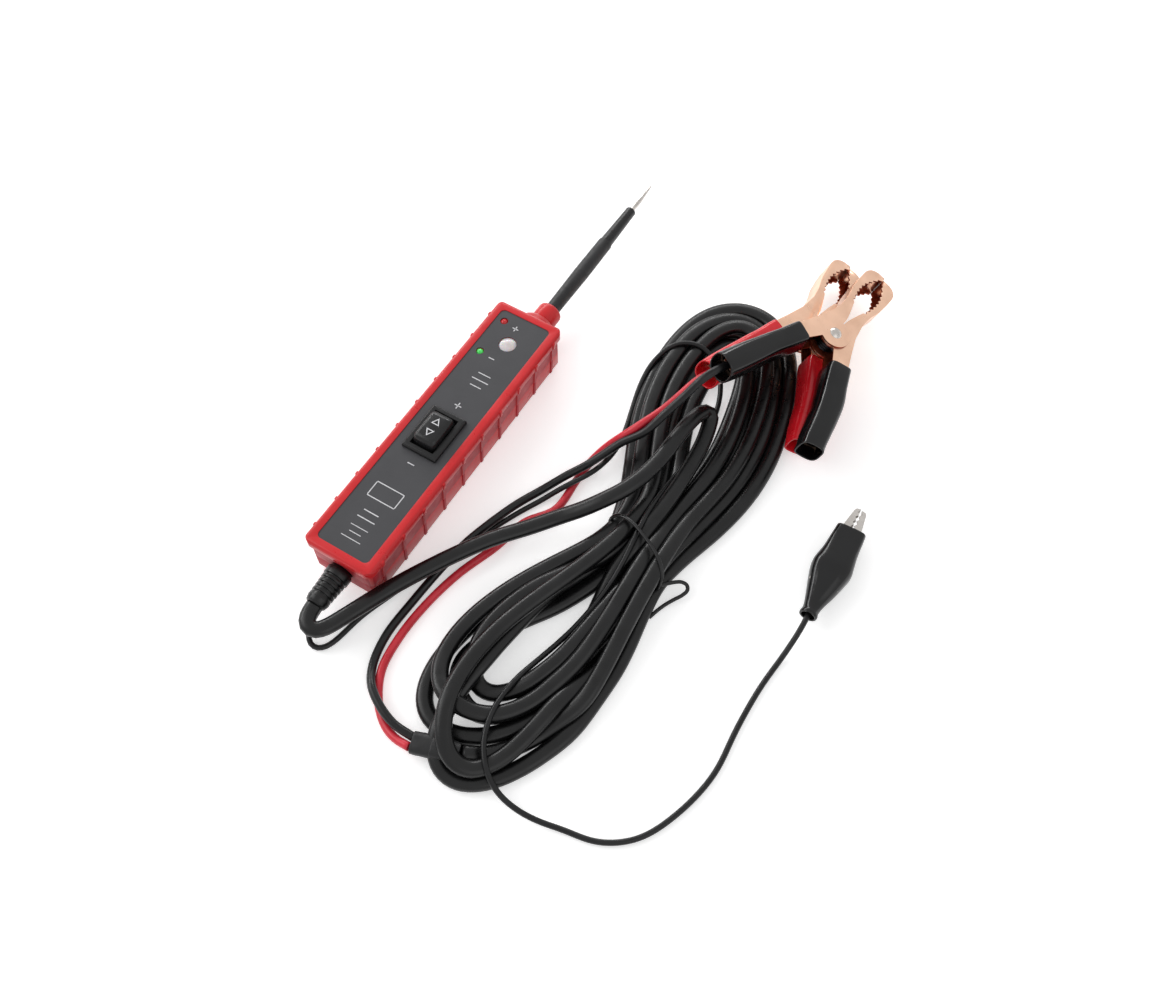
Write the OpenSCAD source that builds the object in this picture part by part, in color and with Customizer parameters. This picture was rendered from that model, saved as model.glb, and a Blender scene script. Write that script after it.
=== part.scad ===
// Automotive circuit tester: a red two-part housing with a rocker switch and a needle probe,
// a long two-core cable tied in a hank, two battery clamps and a small ground clip on its own lead.
// +Y runs along the probe, +Z is up, and the origin is the centre of the housing's underside.

/* [Housing] */
// Length of the housing over its top band
body_l = 128; // [124:1:150]
// Width of the housing over its top band
body_w = 30; // [29:0.5:34]
// Height of the housing
body_h = 22.5; // [22:0.5:27]
// Thickness of the side, end and bottom walls
wall = 1.8; // [1.4:0.1:2.1]
// Thickness of the top wall
top_wall = 2.4; // [2:0.1:3]
// Height of the raised band round the top
rim_h = 4; // [3:0.5:6]
// How far the band stands out past the side panels
rim_out = 0.8; // [0.4:0.1:1]
// How far the side panels lean in from the band to the underside
draft = 1; // [0.4:0.1:1.2]
// Radius of the long edge round the underside
edge_r = 2.5; // [1:0.5:3.5]
// Radius of the band's outer edge
rim_r = 1.5; // [0.6:0.1:1.8]
// Corner radius of the housing seen from above
corner_r = 4; // [2.5:0.5:6]
// Height of the joint between the two shells
part_z = 10.4; // [9.5:0.1:11]

/* [Grip ribs] */
// Number of grip ribs down each side
rib_count = 10; // [4:2:10]
// Distance from one rib to the next
rib_pitch = 12.5; // [9:0.5:12.5]
// Thickness of one rib
rib_t = 1.2; // [0.8:0.1:2]
// How far a rib stands out past the band
rib_out = 0.5; // [0.2:0.1:0.8]
// Height at which the ribs begin
rib_z = 2; // [1:0.5:5]

/* [Nose and probe] */
// Radius of the nose cone where it leaves the housing
nose_r = 9; // [7:0.5:9.2]
// Length of the nose cone
nose_l = 6; // [4:0.5:9]
// Outer radius of the screwed nose cap
cap_r = 5.1; // [4.6:0.1:5.8]
// Length of the nose cap
cap_l = 8; // [6:0.5:12]
// Radius of the probe rod
rod_r = 1.3; // [1:0.1:1.4]
// Radius of the bare needle in front of the sleeve
needle_r = 1.2; // [0.9:0.05:1.25]
// Length of the straight part of the bare needle
needle_l = 6.5; // [3:0.5:8]
// Length of the needle's taper to its point
taper_l = 10; // [6:0.5:16]
// Length of the inner sleeve in front of the housing
sleeve_l = 79; // [60:0.5:100]
// Radius of the inner sleeve at the housing
sleeve_r = 2.6; // [2.3:0.1:2.8]
// Length of the outer sleeve in front of the housing
cover_l = 57; // [40:0.5:58]
// Thickness of the outer sleeve
cover_t = 0.35; // [0.2:0.05:0.5]

/* [Label and lights] */
// Width of the label plate
label_w = 22.5; // [21:0.5:23.5]
// Length of the label plate
label_l = 120.6; // [116:0.2:121]
// Thickness of the label plate
label_t = 0.4; // [0.2:0.1:0.6]
// How deep the label's face lies under the band's top
label_sink = 0.3; // [0.1:0.1:0.6]
// Radius of the two small lights
led_r = 1.5; // [1:0.1:2]
// Distance of the small lights left of the centre line
led_x = 7.5; // [6:0.5:8]
// Distance of the red light from the housing's front end
led_red_in = 8.5; // [8:0.5:11]
// Distance of the green light from the housing's front end
led_green_in = 25.7; // [24.5:0.1:27]
// Radius of the lamp lens
lens_r = 3.5; // [3:0.1:4]
// Distance of the lamp from the housing's front end
lens_in = 17.5; // [16:0.5:19]

/* [Switch] */
// Width of the switch bezel
bezel_w = 15; // [14:0.5:16]
// Length of the switch bezel
bezel_l = 21; // [20:0.5:22]
// Height of the bezel above the label
bezel_h = 2; // [1.2:0.1:3]
// Place of the switch along the housing
switch_y = -3; // [-8:0.5:-2]
// Depth of the switch body under the label
switch_d = 12; // [10:0.5:13]
// Width of the rocker
rocker_w = 9.6; // [8:0.2:10.4]
// Length of the rocker's top
rocker_l = 12.8; // [11:0.2:13.2]
// Height of the rocker above the bezel
rocker_h = 3.4; // [2:0.1:4]
// Radius of the rocker's pivot pins
pivot_r = 1; // [0.8:0.1:1.2]

/* [Inside] */
// Length of the circuit board
board_l = 28; // [26:1:30]
// Width of the circuit board
board_w = 20; // [18:0.5:21]
// Thickness of the circuit board
board_t = 1.2; // [0.8:0.2:1.6]
// Height of the underside of the circuit board
board_z = 14; // [13.8:0.1:14.6]
// Length of the resetting circuit breaker
breaker_l = 18; // [12:1:22]
// Width of the resetting circuit breaker
breaker_w = 9; // [7:0.5:10]
// Height of the resetting circuit breaker
breaker_h = 11; // [8:0.5:13]
// Radius of a housing screw
screw_r = 1.2; // [1:0.1:1.4]
// Radius of a housing screw's head
screw_head_r = 2.1; // [1.8:0.1:2.4]
// Distance of the screws from the centre line
screw_x = 8.2; // [8:0.1:8.6]

/* [Strain relief] */
// Length of the strain relief outside the housing
relief_l = 15; // [13.5:0.5:20]
// Radius of the strain relief's collar
relief_r = 5; // [4.4:0.1:5.6]
// Radius of the strain relief at its free end
relief_end_r = 3.9; // [3.5:0.1:4.2]
// Number of rings on the strain relief
relief_rings = 5; // [3:1:8]

/* [Cables] */
// Diameter of the main cable
cable_d = 6; // [4:0.5:6]
// Diameter of the red and black leads
lead_d = 3.2; // [2:0.1:3.2]
// Diameter of the ground lead
ground_d = 2.4; // [1.6:0.1:2.4]
// Height of the tied hank
hank_h = 15; // [13:0.5:15]
// Length of the sleeve over the split
split_l = 17; // [14:1:17]

/* [Battery clamps] */
// Length of a jaw from the rivet to the tip
jaw_l = 40.5; // [38:0.5:43]
// Height of a jaw between its two flanges' outer faces
jaw_h = 10.4; // [9:0.2:10.6]
// Thickness of the jaws' sheet
sheet_t = 0.8; // [0.5:0.1:1]
// Width of the mouth between the closed jaws
mouth_w = 8.2; // [6:0.2:9]
// Depth of a tooth
tooth_d = 0.9; // [0.5:0.1:1.2]
// Number of teeth on one edge
tooth_n = 9; // [5:1:12]
// Radius of the rivet that the jaws turn on
rivet_r = 1.8; // [1.6:0.1:2.2]
// Length of a handle boot
boot_l = 40; // [34:1:44]
// Wall of a handle boot
boot_t = 0.8; // [0.5:0.1:0.9]
// Diameter of the spring's wire
wire_d = 1.1; // [0.8:0.1:1.2]

/* [Ground clip] */
// Length of the clip's jaws from the pivot to the tip
clip_l = 22.5; // [20:0.5:26]
// Height of the clip's jaws
clip_h = 5.4; // [4.6:0.2:6]
// Thickness of the clip's sheet
clip_t = 0.5; // [0.4:0.1:0.7]
// Number of teeth on one edge of the clip
clip_teeth = 7; // [4:1:10]
// Length of the clip's boot behind the pivot
clip_boot_l = 25.5; // [24:0.5:28]

/* [Hidden] */
$fn = 48;
fit = 0.02;
gap = 0.3;
eps = 0.01;
red = [0.78, 0.14, 0.16];
dark = [0.14, 0.14, 0.15];
copper = [0.91, 0.64, 0.5];
nickel = [0.8, 0.79, 0.77];
brass = [0.8, 0.66, 0.36];

face_z = body_h - label_sink;
cavity_w = body_w - 2 * (rim_out + draft + wall);
cavity_l = body_l - 2 * (rim_out + draft + wall);
cavity_z = body_h - label_sink - label_t - top_wall;
end_y = body_l / 2;
led_red_y = end_y - led_red_in;
led_green_y = end_y - led_green_in;
lens_y = end_y - lens_in;
nose_z = part_z - 0.6;
relief_z = part_z + 0.6;
spigot_r = cap_r - 1.1;
cover_r = sleeve_r + cover_t;
cap_y = end_y + nose_l;
sleeve_end = end_y + sleeve_l;
cover_end = end_y + cover_l;
sleeve_start = end_y - 6;
socket_l = 12;
socket_y = sleeve_start - gap - socket_l;
socket_r = 3.4;
board_y = cavity_l / 2 - gap - board_l / 2;
screw_front_y = 24;
screw_rear_y = -54;
screw_sink = 3;
boss_r = screw_head_r + 0.7;
breaker_y = 19;
tub_w = bezel_w - 2;
tub_l = bezel_l - 2;
tub_wall = 1.2;
window_w = rocker_w + 0.8;
pivot_z = face_z - 1.2;
rocker_foot = 1.3;
window_l = rocker_l + 2 * rocker_foot + 1.4;
relief_y = -end_y;
relief_collar = 3;
ring_l = 9.5 / relief_rings;

// The cords' routes, each from what it leaves to what it enters
main_route = [[0, -78, 11], [-0.1, -81.5, 11], [0.8, -85.4, 11], [3.4, -87.8, 10.6], [6.6, -86.9, 10.2],
    [8.8, -82.8, 10.1], [11.5, -76.5, 10.2], [15.5, -67, 10.5], [20, -55.5, 9.5], [25, -45, 9],
    [32, -32.5, 9], [38, -23, 8.8], [47.5, -11, 8.5], [54.5, -2, 9], [61, 3, 11.5], [67, 8, 16.2],
    [70.5, 12.5, 18.5], [74, 21, 18.5], [76, 33, 18.5], [76.5, 50, 18.5], [77, 60, 14]];
ground_route = [[0.8, -75, 7.4], [0.4, -78, 6.4], [0, -81.5, 4.8], [0.4, -85.3, 3], [2, -88.5, 1.8],
    [5, -90.4, 1.3], [8.4, -89.2, 1.3], [10.4, -85, 1.3], [11.5, -78.5, 1.3], [12.7, -71, 1.3],
    [16, -61, 1.3], [22, -44, 1.3], [27.5, -30, 1.3], [33, -16.5, 1.3], [37.5, -5.5, 1.3],
    [42.5, 4.5, 1.3], [46, 10, 3.6], [49, 14.5, 4.9], [54.5, 25, 4.9], [58, 33, 5], [66, 44, 5]];
ground_tail = [[90, -86, 5], [95, -91, 2.4], [103, -96, 1.3], [114, -98, 1.3], [127, -96, 1.3],
    [138, -88, 1.3], [145, -74, 1.3], [149, -56, 1.3], [148, -38, 1.3], [148, -20, 1.3],
    [149.5, -5, 1.6], [150.5, 5, 6], [150.2, 13, 6.3]];
red_route = [[77.9, 86, 21], [73.7, 73, 23.8], [71.8, 67, 24.4], [69, 59, 22], [66, 52, 19.5], [61, 42, 17.2],
    [53, 34.5, 7.5], [49.5, 29, 2], [49, 18.5, 1.7], [49, 3, 1.7], [42, -8, 1.7], [38.5, -22.5, 1.7],
    [33, -39, 1.7], [30, -56, 1.7], [29.5, -71, 1.7], [31.5, -84, 1.7], [37.5, -94, 1.7],
    [44, -99.5, 1.8], [50.5, -102, 3], [57, -102.3, 4.3]];
black_route = [[85.6, 82.8, 32.2], [80, 70.5, 35.5], [76.5, 63.5, 34.5], [73, 57, 29], [69, 49, 23.5],
    [65, 41, 18.3], [58.5, 35.5, 13.2], [53.5, 28.5, 8.8], [50, 23.5, 6.2], [45.5, 16.5, 4.6],
    [40.5, 8.5, 2], [35.5, -4, 3.2], [31.5, -18, 4.3], [29, -28, 4.3], [27, -40, 3.2], [25.3, -56, 1.7],
    [25, -72.5, 1.7], [28, -84.5, 2.2], [34.5, -92.5, 5.1], [46.5, -98.3, 5.1], [57, -98.9, 4.6]];

// The hank's outline and its tie
hank_head = [68, 97];
hank_head_r = 24;
hank_head_h = 7;
hank_foot = [84, -91];
hank_foot_r = 14;
hank_body = [[72, -98], [70, -90], [58, -86], [48, -80], [46, -68], [50, -42], [62, -16], [70, 4],
    [71.5, 14], [69, 27], [66.5, 36], [61, 50], [55, 60], [104, 60], [106, 45], [105, 26], [101, 5],
    [99, -6], [100, -20], [100, -55], [98, -78]];
hank_neck = [[62, 50], [50, 66], [46, 84], [46, 108], [90, 92], [88, 70], [100, 56]];
tie_at = [85, 0];
tie_turn = -26;
tie_w = 33;
tie_wire = 1.1;

// The clamps lie one on the other, tipped over the hank
stack_roll = 20;
stack_pitch = -5.5;
stack_step = 12.8;
red_at = [94.4, 120.6, 11.4];
red_turn = -1;
black_shift = [7.5, -7];
black_turn = -8;
jaw_hh = jaw_h / 2;
inner_hh = jaw_hh - sheet_t - gap;
ear_r = 6.4;
handle_turn = 19.3;
handle_at = [9.6, -10.5];
handle_l = boot_l - 7;
boot_gap = 0.2;
boot_hh = jaw_hh + boot_gap + boot_t;
mouth_start = 8;
teeth_start = 19;
head_r = rivet_r + 0.7;

// The ground clip
clip_at = [149.4, 36.5, 6.3];
clip_turn = 2;
clip_hh = clip_h / 2;
clip_inner = clip_hh - clip_t - 0.15;
clip_ear = 3.2;
clip_rivet_r = 1;
clip_handle = 13;

function arc(x, y, r, a, b, n) =
    [for (i = [0:n]) [x + r * cos(a + (b - a) * i / n), y + r * sin(a + (b - a) * i / n)]];
function flip(p) = [for (i = [len(p) - 1:-1:0]) [-p[i][0], p[i][1]]];
function back(p) = [for (i = [len(p) - 1:-1:0]) p[i]];
function unit(v) = v / norm(v);
function signed_pow(v, e) = sign(v) * pow(abs(v), e);

// A line moved to its right-hand side by t, which starts lower and ends a little short
function inset(p, t) = [for (i = [0:len(p) - 1])
    let (d = unit(p[min(i + 1, len(p) - 1)] - p[max(i - 1, 0)]))
    i == 0 ? p[0] + [0.25, -t]
    : p[i] + t * [d[1], -d[0]] - (i == len(p) - 1 ? 0.5 : 0) * d];

// Half of the housing's cross-section, for a half width or half length s over the band
function side_half(s) = concat(
    arc(s - rim_out - draft - edge_r, edge_r, edge_r, -90, 0, 4),
    [[s - rim_out, body_h - rim_h]],
    arc(s - rim_out, body_h - rim_h + rim_out, rim_out, -90, 0, 3),
    arc(s - rim_r, body_h - rim_r, rim_r, 0, 90, 4));
function section(s) = concat(side_half(s), flip(side_half(s)));

// Triangles between rings of n points that follow each other, with flat ends
function skin_faces(rings, n) = concat(
    [for (i = [0:rings - 2]) for (j = [0:n - 1])
        each [[i * n + j, (i + 1) * n + j, (i + 1) * n + (j + 1) % n],
            [i * n + j, (i + 1) * n + (j + 1) % n, i * n + (j + 1) % n]]],
    [[for (j = [0:n - 1]) j]],
    [[for (j = [n - 1:-1:0]) (rings - 1) * n + j]]);

// One ring of a round tube of radius r at the point i of a route
function tube_ring(p, i, r, n) =
    let (t = unit(p[min(i + 1, len(p) - 1)] - p[max(i - 1, 0)]),
        s = unit(cross(t, [0, 0, 1])),
        u = cross(s, t))
    [for (j = [0:n - 1]) p[i] + r * (cos(360 * j / n) * s - sin(360 * j / n) * u)];

module tube(route, r, n) {
    rings = [for (i = [0:len(route) - 1]) each tube_ring(route, i, r, n)];
    polyhedron(rings, skin_faces(len(route), n));
}

// A body through rings [height, half width, half depth, squareness], the first one at the bottom
module loft(rings, n) {
    points = [for (g = rings) for (j = [0:n - 1])
        [g[1] * signed_pow(cos(360 * j / n), 2 / g[3]), g[2] * signed_pow(sin(360 * j / n), 2 / g[3]), g[0]]];
    polyhedron(points, skin_faces(len(rings), n));
}

module rounded(w, l, r) {
    square([w - 2 * r, l], center = true);
    square([w, l - 2 * r], center = true);
    for (x = [-1, 1], y = [-1, 1])
        translate([x * (w / 2 - r), y * (l / 2 - r)])
            circle(r);
}

// Turns a profile of radius and length so that it runs along +Y from the height z
module along_y(z) {
    translate([0, 0, z])
        rotate([-90, 0, 0])
            rotate_extrude()
                children();
}

// The housing

module housing_form() {
    intersection() {
        rotate([90, 0, 0])
            linear_extrude(body_l + 1, center = true)
                polygon(section(body_w / 2));
        rotate([90, 0, 90])
            linear_extrude(body_w + 1, center = true)
                polygon(section(body_l / 2));
        union() {
            translate([0, 0, body_h - rim_h])
                linear_extrude(rim_h)
                    rounded(body_w, body_l, corner_r);
            linear_extrude(body_h)
                rounded(body_w - 2 * rim_out, body_l - 2 * rim_out, corner_r);
        }
    }
}

module grip_ribs() {
    for (i = [0:rib_count - 1])
        translate([0, (i - (rib_count - 1) / 2) * rib_pitch, 0])
            rotate([90, 0, 0])
                linear_extrude(rib_t, center = true)
                    intersection() {
                        polygon(section(body_w / 2 + rib_out));
                        translate([-body_w, rib_z])
                            square([2 * body_w, body_h - rim_r / 2 - rib_z]);
                    }
}

module nose_form() {
    along_y(nose_z)
        polygon(concat([[0, end_y - 3], [nose_r, end_y - 3]],
            [for (a = [0:15:90])
                [cap_r - 0.3 + (nose_r - cap_r + 0.3) * cos(a), end_y + nose_l * sin(a)]],
            [[spigot_r, cap_y], [spigot_r, cap_y + cap_l / 2], [0, cap_y + cap_l / 2]]));
}

module cavity() {
    translate([-cavity_w / 2, -cavity_l / 2, wall])
        cube([cavity_w, cavity_l, cavity_z - wall]);
}

// Everything that goes through the shells' walls
module shell_cuts() {
    along_y(nose_z)
        polygon([[0, sleeve_start - 2], [cover_r + fit, sleeve_start - 2],
            [cover_r + fit, cap_y + cap_l], [0, cap_y + cap_l]]);
    along_y(relief_z)
        polygon([[0, relief_y - 1], [relief_r - 0.6, relief_y - 1], [relief_r - 0.6, relief_y + 6],
            [0, relief_y + 6]]);
    translate([0, 0, face_z - label_t])
        linear_extrude(1 + label_t + label_sink)
            rounded(label_w + 2 * fit, label_l + 2 * fit, corner_r / 2 + fit);
    translate([0, switch_y, cavity_z - 1])
        linear_extrude(body_h)
            square([tub_w + 2 * fit, tub_l + 2 * fit], center = true);
    for (y = [led_red_y, led_green_y])
        translate([-led_x, y, cavity_z - 1])
            cylinder(r = led_r + 0.1, h = body_h);
    translate([0, lens_y, cavity_z - 1])
        cylinder(r = lens_r + 0.05, h = body_h);
}

module screw_places() {
    for (x = [-screw_x, screw_x], y = [screw_rear_y, screw_front_y])
        translate([x, y, 0])
            children();
}

module upper_shell() {
    color(red)
        difference() {
            union() {
                intersection() {
                    union() {
                        housing_form();
                        grip_ribs();
                        nose_form();
                    }
                    translate([-body_w, -body_l, part_z])
                        cube([2 * body_w, 2 * body_l, body_h]);
                }
            }
            difference() {
                cavity();
                screw_places()
                    cylinder(r = boss_r, h = body_h);
            }
            shell_cuts();
            screw_places()
                cylinder(r = screw_r + fit, h = cavity_z - 1);
        }
}

module lower_shell() {
    color(red)
        difference() {
            intersection() {
                union() {
                    housing_form();
                    grip_ribs();
                    nose_form();
                }
                translate([-body_w, -body_l, 0])
                    cube([2 * body_w, 2 * body_l, part_z]);
            }
            difference() {
                cavity();
                screw_places()
                    cylinder(r = boss_r, h = body_h);
                socket_cradle();
            }
            shell_cuts();
            screw_places() {
                cylinder(r = screw_r + fit, h = body_h);
                cylinder(r = screw_head_r + 0.2, h = screw_sink);
            }
        }
}

// The rib under the probe socket, which also carries the circuit board at its sides
module socket_cradle() {
    difference() {
        translate([-cavity_w / 2, socket_y + 3, 0])
            cube([cavity_w, 3, nose_z]);
        along_y(nose_z)
            polygon([[0, socket_y], [socket_r + fit, socket_y], [socket_r + fit, end_y], [0, end_y]]);
    }
}

module housing_screws() {
    color(nickel)
        screw_places()
            difference() {
                union() {
                    cylinder(r = screw_r, h = body_h * 0.7);
                    translate([0, 0, screw_sink - 1.6])
                        cylinder(r = screw_head_r, h = 1.6);
                }
                translate([0, 0, -1])
                    cylinder(r = screw_head_r + 1, h = screw_sink - 1.6 + 1);
                for (a = [0, 90])
                    rotate([0, 0, a])
                        translate([-screw_head_r * 0.7, -0.3, 0])
                            cube([screw_head_r * 1.4, 0.6, screw_sink - 0.8]);
            }
}

module label_plate() {
    color([0.3, 0.3, 0.31])
        difference() {
            translate([0, 0, face_z - label_t])
                linear_extrude(label_t)
                    rounded(label_w, label_l, corner_r / 2);
            translate([0, 0, -gap])
                shell_holes();
        }
}

// The holes that the label shares with the shell
module shell_holes() {
    translate([0, switch_y, cavity_z])
        linear_extrude(body_h)
            square([tub_w + 2 * fit, tub_l + 2 * fit], center = true);
    for (y = [led_red_y, led_green_y])
        translate([-led_x, y, cavity_z])
            cylinder(r = led_r + 0.1, h = body_h);
    translate([0, lens_y, cavity_z])
        cylinder(r = lens_r + 0.05, h = body_h);
}

// The probe

module nose_cap() {
    color(red)
        along_y(nose_z)
            polygon(concat([[spigot_r + fit, cap_y], [cap_r, cap_y]],
                arc(cap_r - 1.5, cap_y + cap_l - 1.5, 1.5, 0, 90, 6),
                [[cover_r + fit, cap_y + cap_l], [cover_r + fit, cap_y + cap_l / 2 + fit],
                [spigot_r + fit, cap_y + cap_l / 2 + fit]]));
}

module probe_rod() {
    color(nickel)
        along_y(nose_z)
            polygon(concat([[0, socket_y + 2], [rod_r, socket_y + 2], [rod_r, sleeve_end - 0.5],
                [needle_r, sleeve_end], [needle_r, sleeve_end + needle_l]],
                arc(0, sleeve_end + needle_l + taper_l, 0.5, 10, 90, 4)));
}

module probe_sleeve() {
    color(dark)
        along_y(nose_z)
            polygon(concat([[rod_r + fit, sleeve_start], [sleeve_r, sleeve_start],
                [sleeve_r, end_y + cover_l * 0.3], [sleeve_r + 0.3, end_y + cover_l * 0.65],
                [sleeve_r + 0.15, cover_end]],
                arc(sleeve_r - 1, sleeve_end - 0.7, 0.7, 10, 90, 4),
                [[rod_r + fit, sleeve_end]]));
}

module sleeve_cover() {
    color(dark)
        along_y(nose_z)
            polygon([[sleeve_r + fit, sleeve_start], [cover_r, sleeve_start],
                [cover_r, end_y + cover_l * 0.3],
                [cover_r + 0.3, end_y + cover_l * 0.65], [cover_r + 0.15, cover_end - 0.2],
                [sleeve_r + 0.17, cover_end], [sleeve_r + 0.32, end_y + cover_l * 0.65],
                [sleeve_r + fit, end_y + cover_l * 0.3]]);
}

module probe_socket() {
    color(brass)
        along_y(nose_z)
            polygon([[0, socket_y], [socket_r, socket_y], [socket_r, socket_y + socket_l],
                [rod_r + fit, socket_y + socket_l], [rod_r + fit, socket_y + 2], [0, socket_y + 2]]);
}

// The lights and what they stand on

module circuit_board() {
    color([0.1, 0.36, 0.2])
        translate([-board_w / 2, board_y - board_l / 2, board_z])
            cube([board_w, board_l, board_t]);
}

module small_light(y) {
    translate([-led_x, y, board_z + board_t])
        rotate_extrude()
            polygon(concat([[0, 0], [led_r + 0.4, 0], [led_r + 0.4, 1], [led_r, 1]],
                arc(0, face_z - board_z - board_t - led_r + 0.3, led_r, 0, 90, 8)));
}

module red_light() {
    color([0.85, 0.1, 0.1])
        small_light(led_red_y);
}

module green_light() {
    color([0.25, 0.8, 0.3])
        small_light(led_green_y);
}

module lamp_lens() {
    color([0.92, 0.9, 0.9])
        translate([0, lens_y, 0])
            difference() {
                rotate_extrude()
                    polygon(concat([[0, cavity_z - 0.8], [lens_r + 0.6, cavity_z - 0.8],
                        [lens_r + 0.6, cavity_z], [lens_r, cavity_z]],
                        arc(0, face_z - lens_r * 2 - 0.5, lens_r * sqrt(5), 63.435, 90, 8)));
                translate([0, 0, board_z])
                    cylinder(r = 2.5, h = cavity_z + 1 - board_z);
            }
}

module lamp_bulb() {
    color([0.95, 0.95, 0.9])
        translate([0, lens_y, board_z + board_t])
            rotate_extrude()
                polygon(concat([[0, 0], [2.4, 0]],
                    arc(0, cavity_z - board_z - board_t - 1.6, 2.4, 0, 90, 8)));
}

module circuit_breaker() {
    color([0.75, 0.72, 0.6])
        translate([-breaker_w / 2, breaker_y - breaker_l / 2, wall])
            cube([breaker_w, breaker_l, breaker_h]);
}

// The switch

module switch_body() {
    color(dark)
        difference() {
            translate([0, switch_y, 0]) {
                hull() {
                    translate([0, 0, face_z + fit])
                        linear_extrude(bezel_h * 0.6)
                            square([bezel_w, bezel_l], center = true);
                    translate([0, 0, face_z])
                        linear_extrude(bezel_h)
                            square([bezel_w - 1.2, bezel_l - 1.2], center = true);
                }
                translate([0, 0, face_z - switch_d])
                    linear_extrude(switch_d + eps)
                        square([tub_w, tub_l], center = true);
            }
            translate([-window_w / 2, switch_y - window_l / 2, face_z - switch_d + tub_wall])
                cube([window_w, window_l, body_h]);
            translate([-(window_w / 2 + 0.9), switch_y, pivot_z])
                rotate([0, 90, 0])
                    cylinder(r = pivot_r + 0.06, h = window_w + 1.8);
        }
}

module rocker() {
    top = face_z + bezel_h + rocker_h;
    shoulder = face_z + bezel_h;
    color(dark)
        translate([0, switch_y, 0]) {
            rotate([90, 0, 90])
                linear_extrude(rocker_w, center = true)
                    polygon([[-rocker_l / 2, top], [-rocker_l / 2 - rocker_foot, shoulder],
                        [-rocker_l / 2 - rocker_foot, pivot_z - 1], [-rocker_l / 4, pivot_z - 4],
                        [rocker_l / 4, pivot_z - 4], [rocker_l / 2 + rocker_foot, pivot_z - 1],
                        [rocker_l / 2 + rocker_foot, shoulder], [rocker_l / 2, top]]);
            translate([-(window_w / 2 + 0.7), 0, pivot_z])
                rotate([0, 90, 0])
                    cylinder(r = pivot_r, h = window_w + 1.4);
        }
}

module switch_terminals() {
    color(brass)
        for (y = [-1, 0, 1])
            translate([-2.4, switch_y + y * tub_l * 0.36 - 0.4, face_z - switch_d - 6.5])
                cube([4.8, 0.8, 6.5]);
}

// The strain relief and the cords

module strain_relief() {
    color(dark)
        along_y(relief_z)
            polygon(concat([[0, relief_y + 5.5], [relief_r - 0.7, relief_y + 5.5],
                [relief_r - 0.7, relief_y + 0.7], [relief_r, relief_y - 0.1],
                [relief_r, relief_y - relief_collar]],
                [for (i = [0:relief_rings - 1])
                    let (r = relief_r - 0.3 - 0.5 * i / relief_rings,
                        y = relief_y - relief_collar - i * ring_l)
                    each [[r - 0.8, y], [r - 0.8, y - ring_l * 0.4], [r, y - ring_l * 0.4],
                        [r, y - ring_l]]],
                [[relief_end_r + 0.5, relief_y - relief_collar - relief_rings * ring_l],
                [relief_end_r, relief_y - relief_l + 0.6], [relief_end_r - 0.6, relief_y - relief_l],
                [0, relief_y - relief_l]]));
}

module main_cable() {
    color(dark)
        tube(main_route, cable_d / 2, 10);
}

module ground_lead() {
    color(dark)
        tube(ground_route, ground_d / 2, 8);
}

module ground_lead_tail() {
    color(dark)
        tube(ground_tail, ground_d / 2, 8);
}

module red_lead() {
    color([0.8, 0.16, 0.2])
        tube(red_route, lead_d / 2, 8);
}

module black_lead() {
    color(dark)
        tube(black_route, lead_d / 2, 8);
}

module split_sleeve() {
    color(dark)
        translate([73, -95.3, 4.7])
            rotate([0, -90, 18])
                loft([[0, cable_d / 2 + 0.5, cable_d / 2 + 0.5, 2], [split_l * 0.5, 3, 4.4, 2.2],
                    [split_l, 2.3, 4, 2.4]], 16);
}

module tie_band(grow) {
    translate([tie_at[0], tie_at[1], 0])
        rotate([90, 0, tie_turn])
            linear_extrude(tie_wire + 2 * grow, center = true)
                difference() {
                    translate([0, hank_h / 2])
                        rounded(tie_w + 2 * grow, hank_h - 0.2 + 2 * grow, 3);
                    translate([0, hank_h / 2])
                        rounded(tie_w - 2 * tie_wire - 2 * grow, hank_h - 0.2 - 2 * tie_wire - 2 * grow, 2);
                }
}

module cable_hank() {
    color(dark)
        difference() {
            union() {
                linear_extrude(hank_h) {
                    polygon(hank_body);
                    translate(hank_foot)
                        circle(hank_foot_r);
                }
                linear_extrude(hank_head_h) {
                    polygon(hank_neck);
                    translate(hank_head)
                        circle(hank_head_r);
                }
            }
            tie_band(0);
        }
}

module twist_tie() {
    color(dark) {
        tie_band(0);
        translate([tie_at[0], tie_at[1], 0])
            rotate([0, 0, tie_turn])
                tube([[tie_w / 2 - 0.5, 0, 7], [tie_w / 2 + 2, 1, 7], [tie_w / 2 + 4, 5, 5],
                    [tie_w / 2 + 5, 9, 2.5], [tie_w / 2 + 4, 4, 1.5], [tie_w / 2 + 3.5, -3, 1.2],
                    [tie_w / 2 + 5, -9, 1.2]], tie_wire / 2, 8);
    }
}

// The battery clamps, each in a frame of its own: the rivet is on Z and the closed tips are on +Y

function mouth_half(y) =
    let (t = (y - mouth_start) / (jaw_l - 2 - mouth_start)) 0.2 + mouth_w / 2 * sin(180 * pow(t, 1.5));

// The outer edge of the right-hand half, from the tip back to the handle's end
function jaw_edge() =
    let (a = handle_turn, e = handle_at + 3.9 * [cos(a), sin(a)])
    concat([[0.2, jaw_l]], arc(2.9, jaw_l - 4.9, 4.9, 84, 5, 4),
        [[mouth_w / 2 + 3.7, jaw_l - 9], [mouth_w / 2 + 3.4, jaw_l - 15], [mouth_w / 2 + 2.1, jaw_l - 21],
        [6, 14], [7.4, 6], [10, -1], e, e + handle_l * [sin(a), -cos(a)]]);

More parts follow.
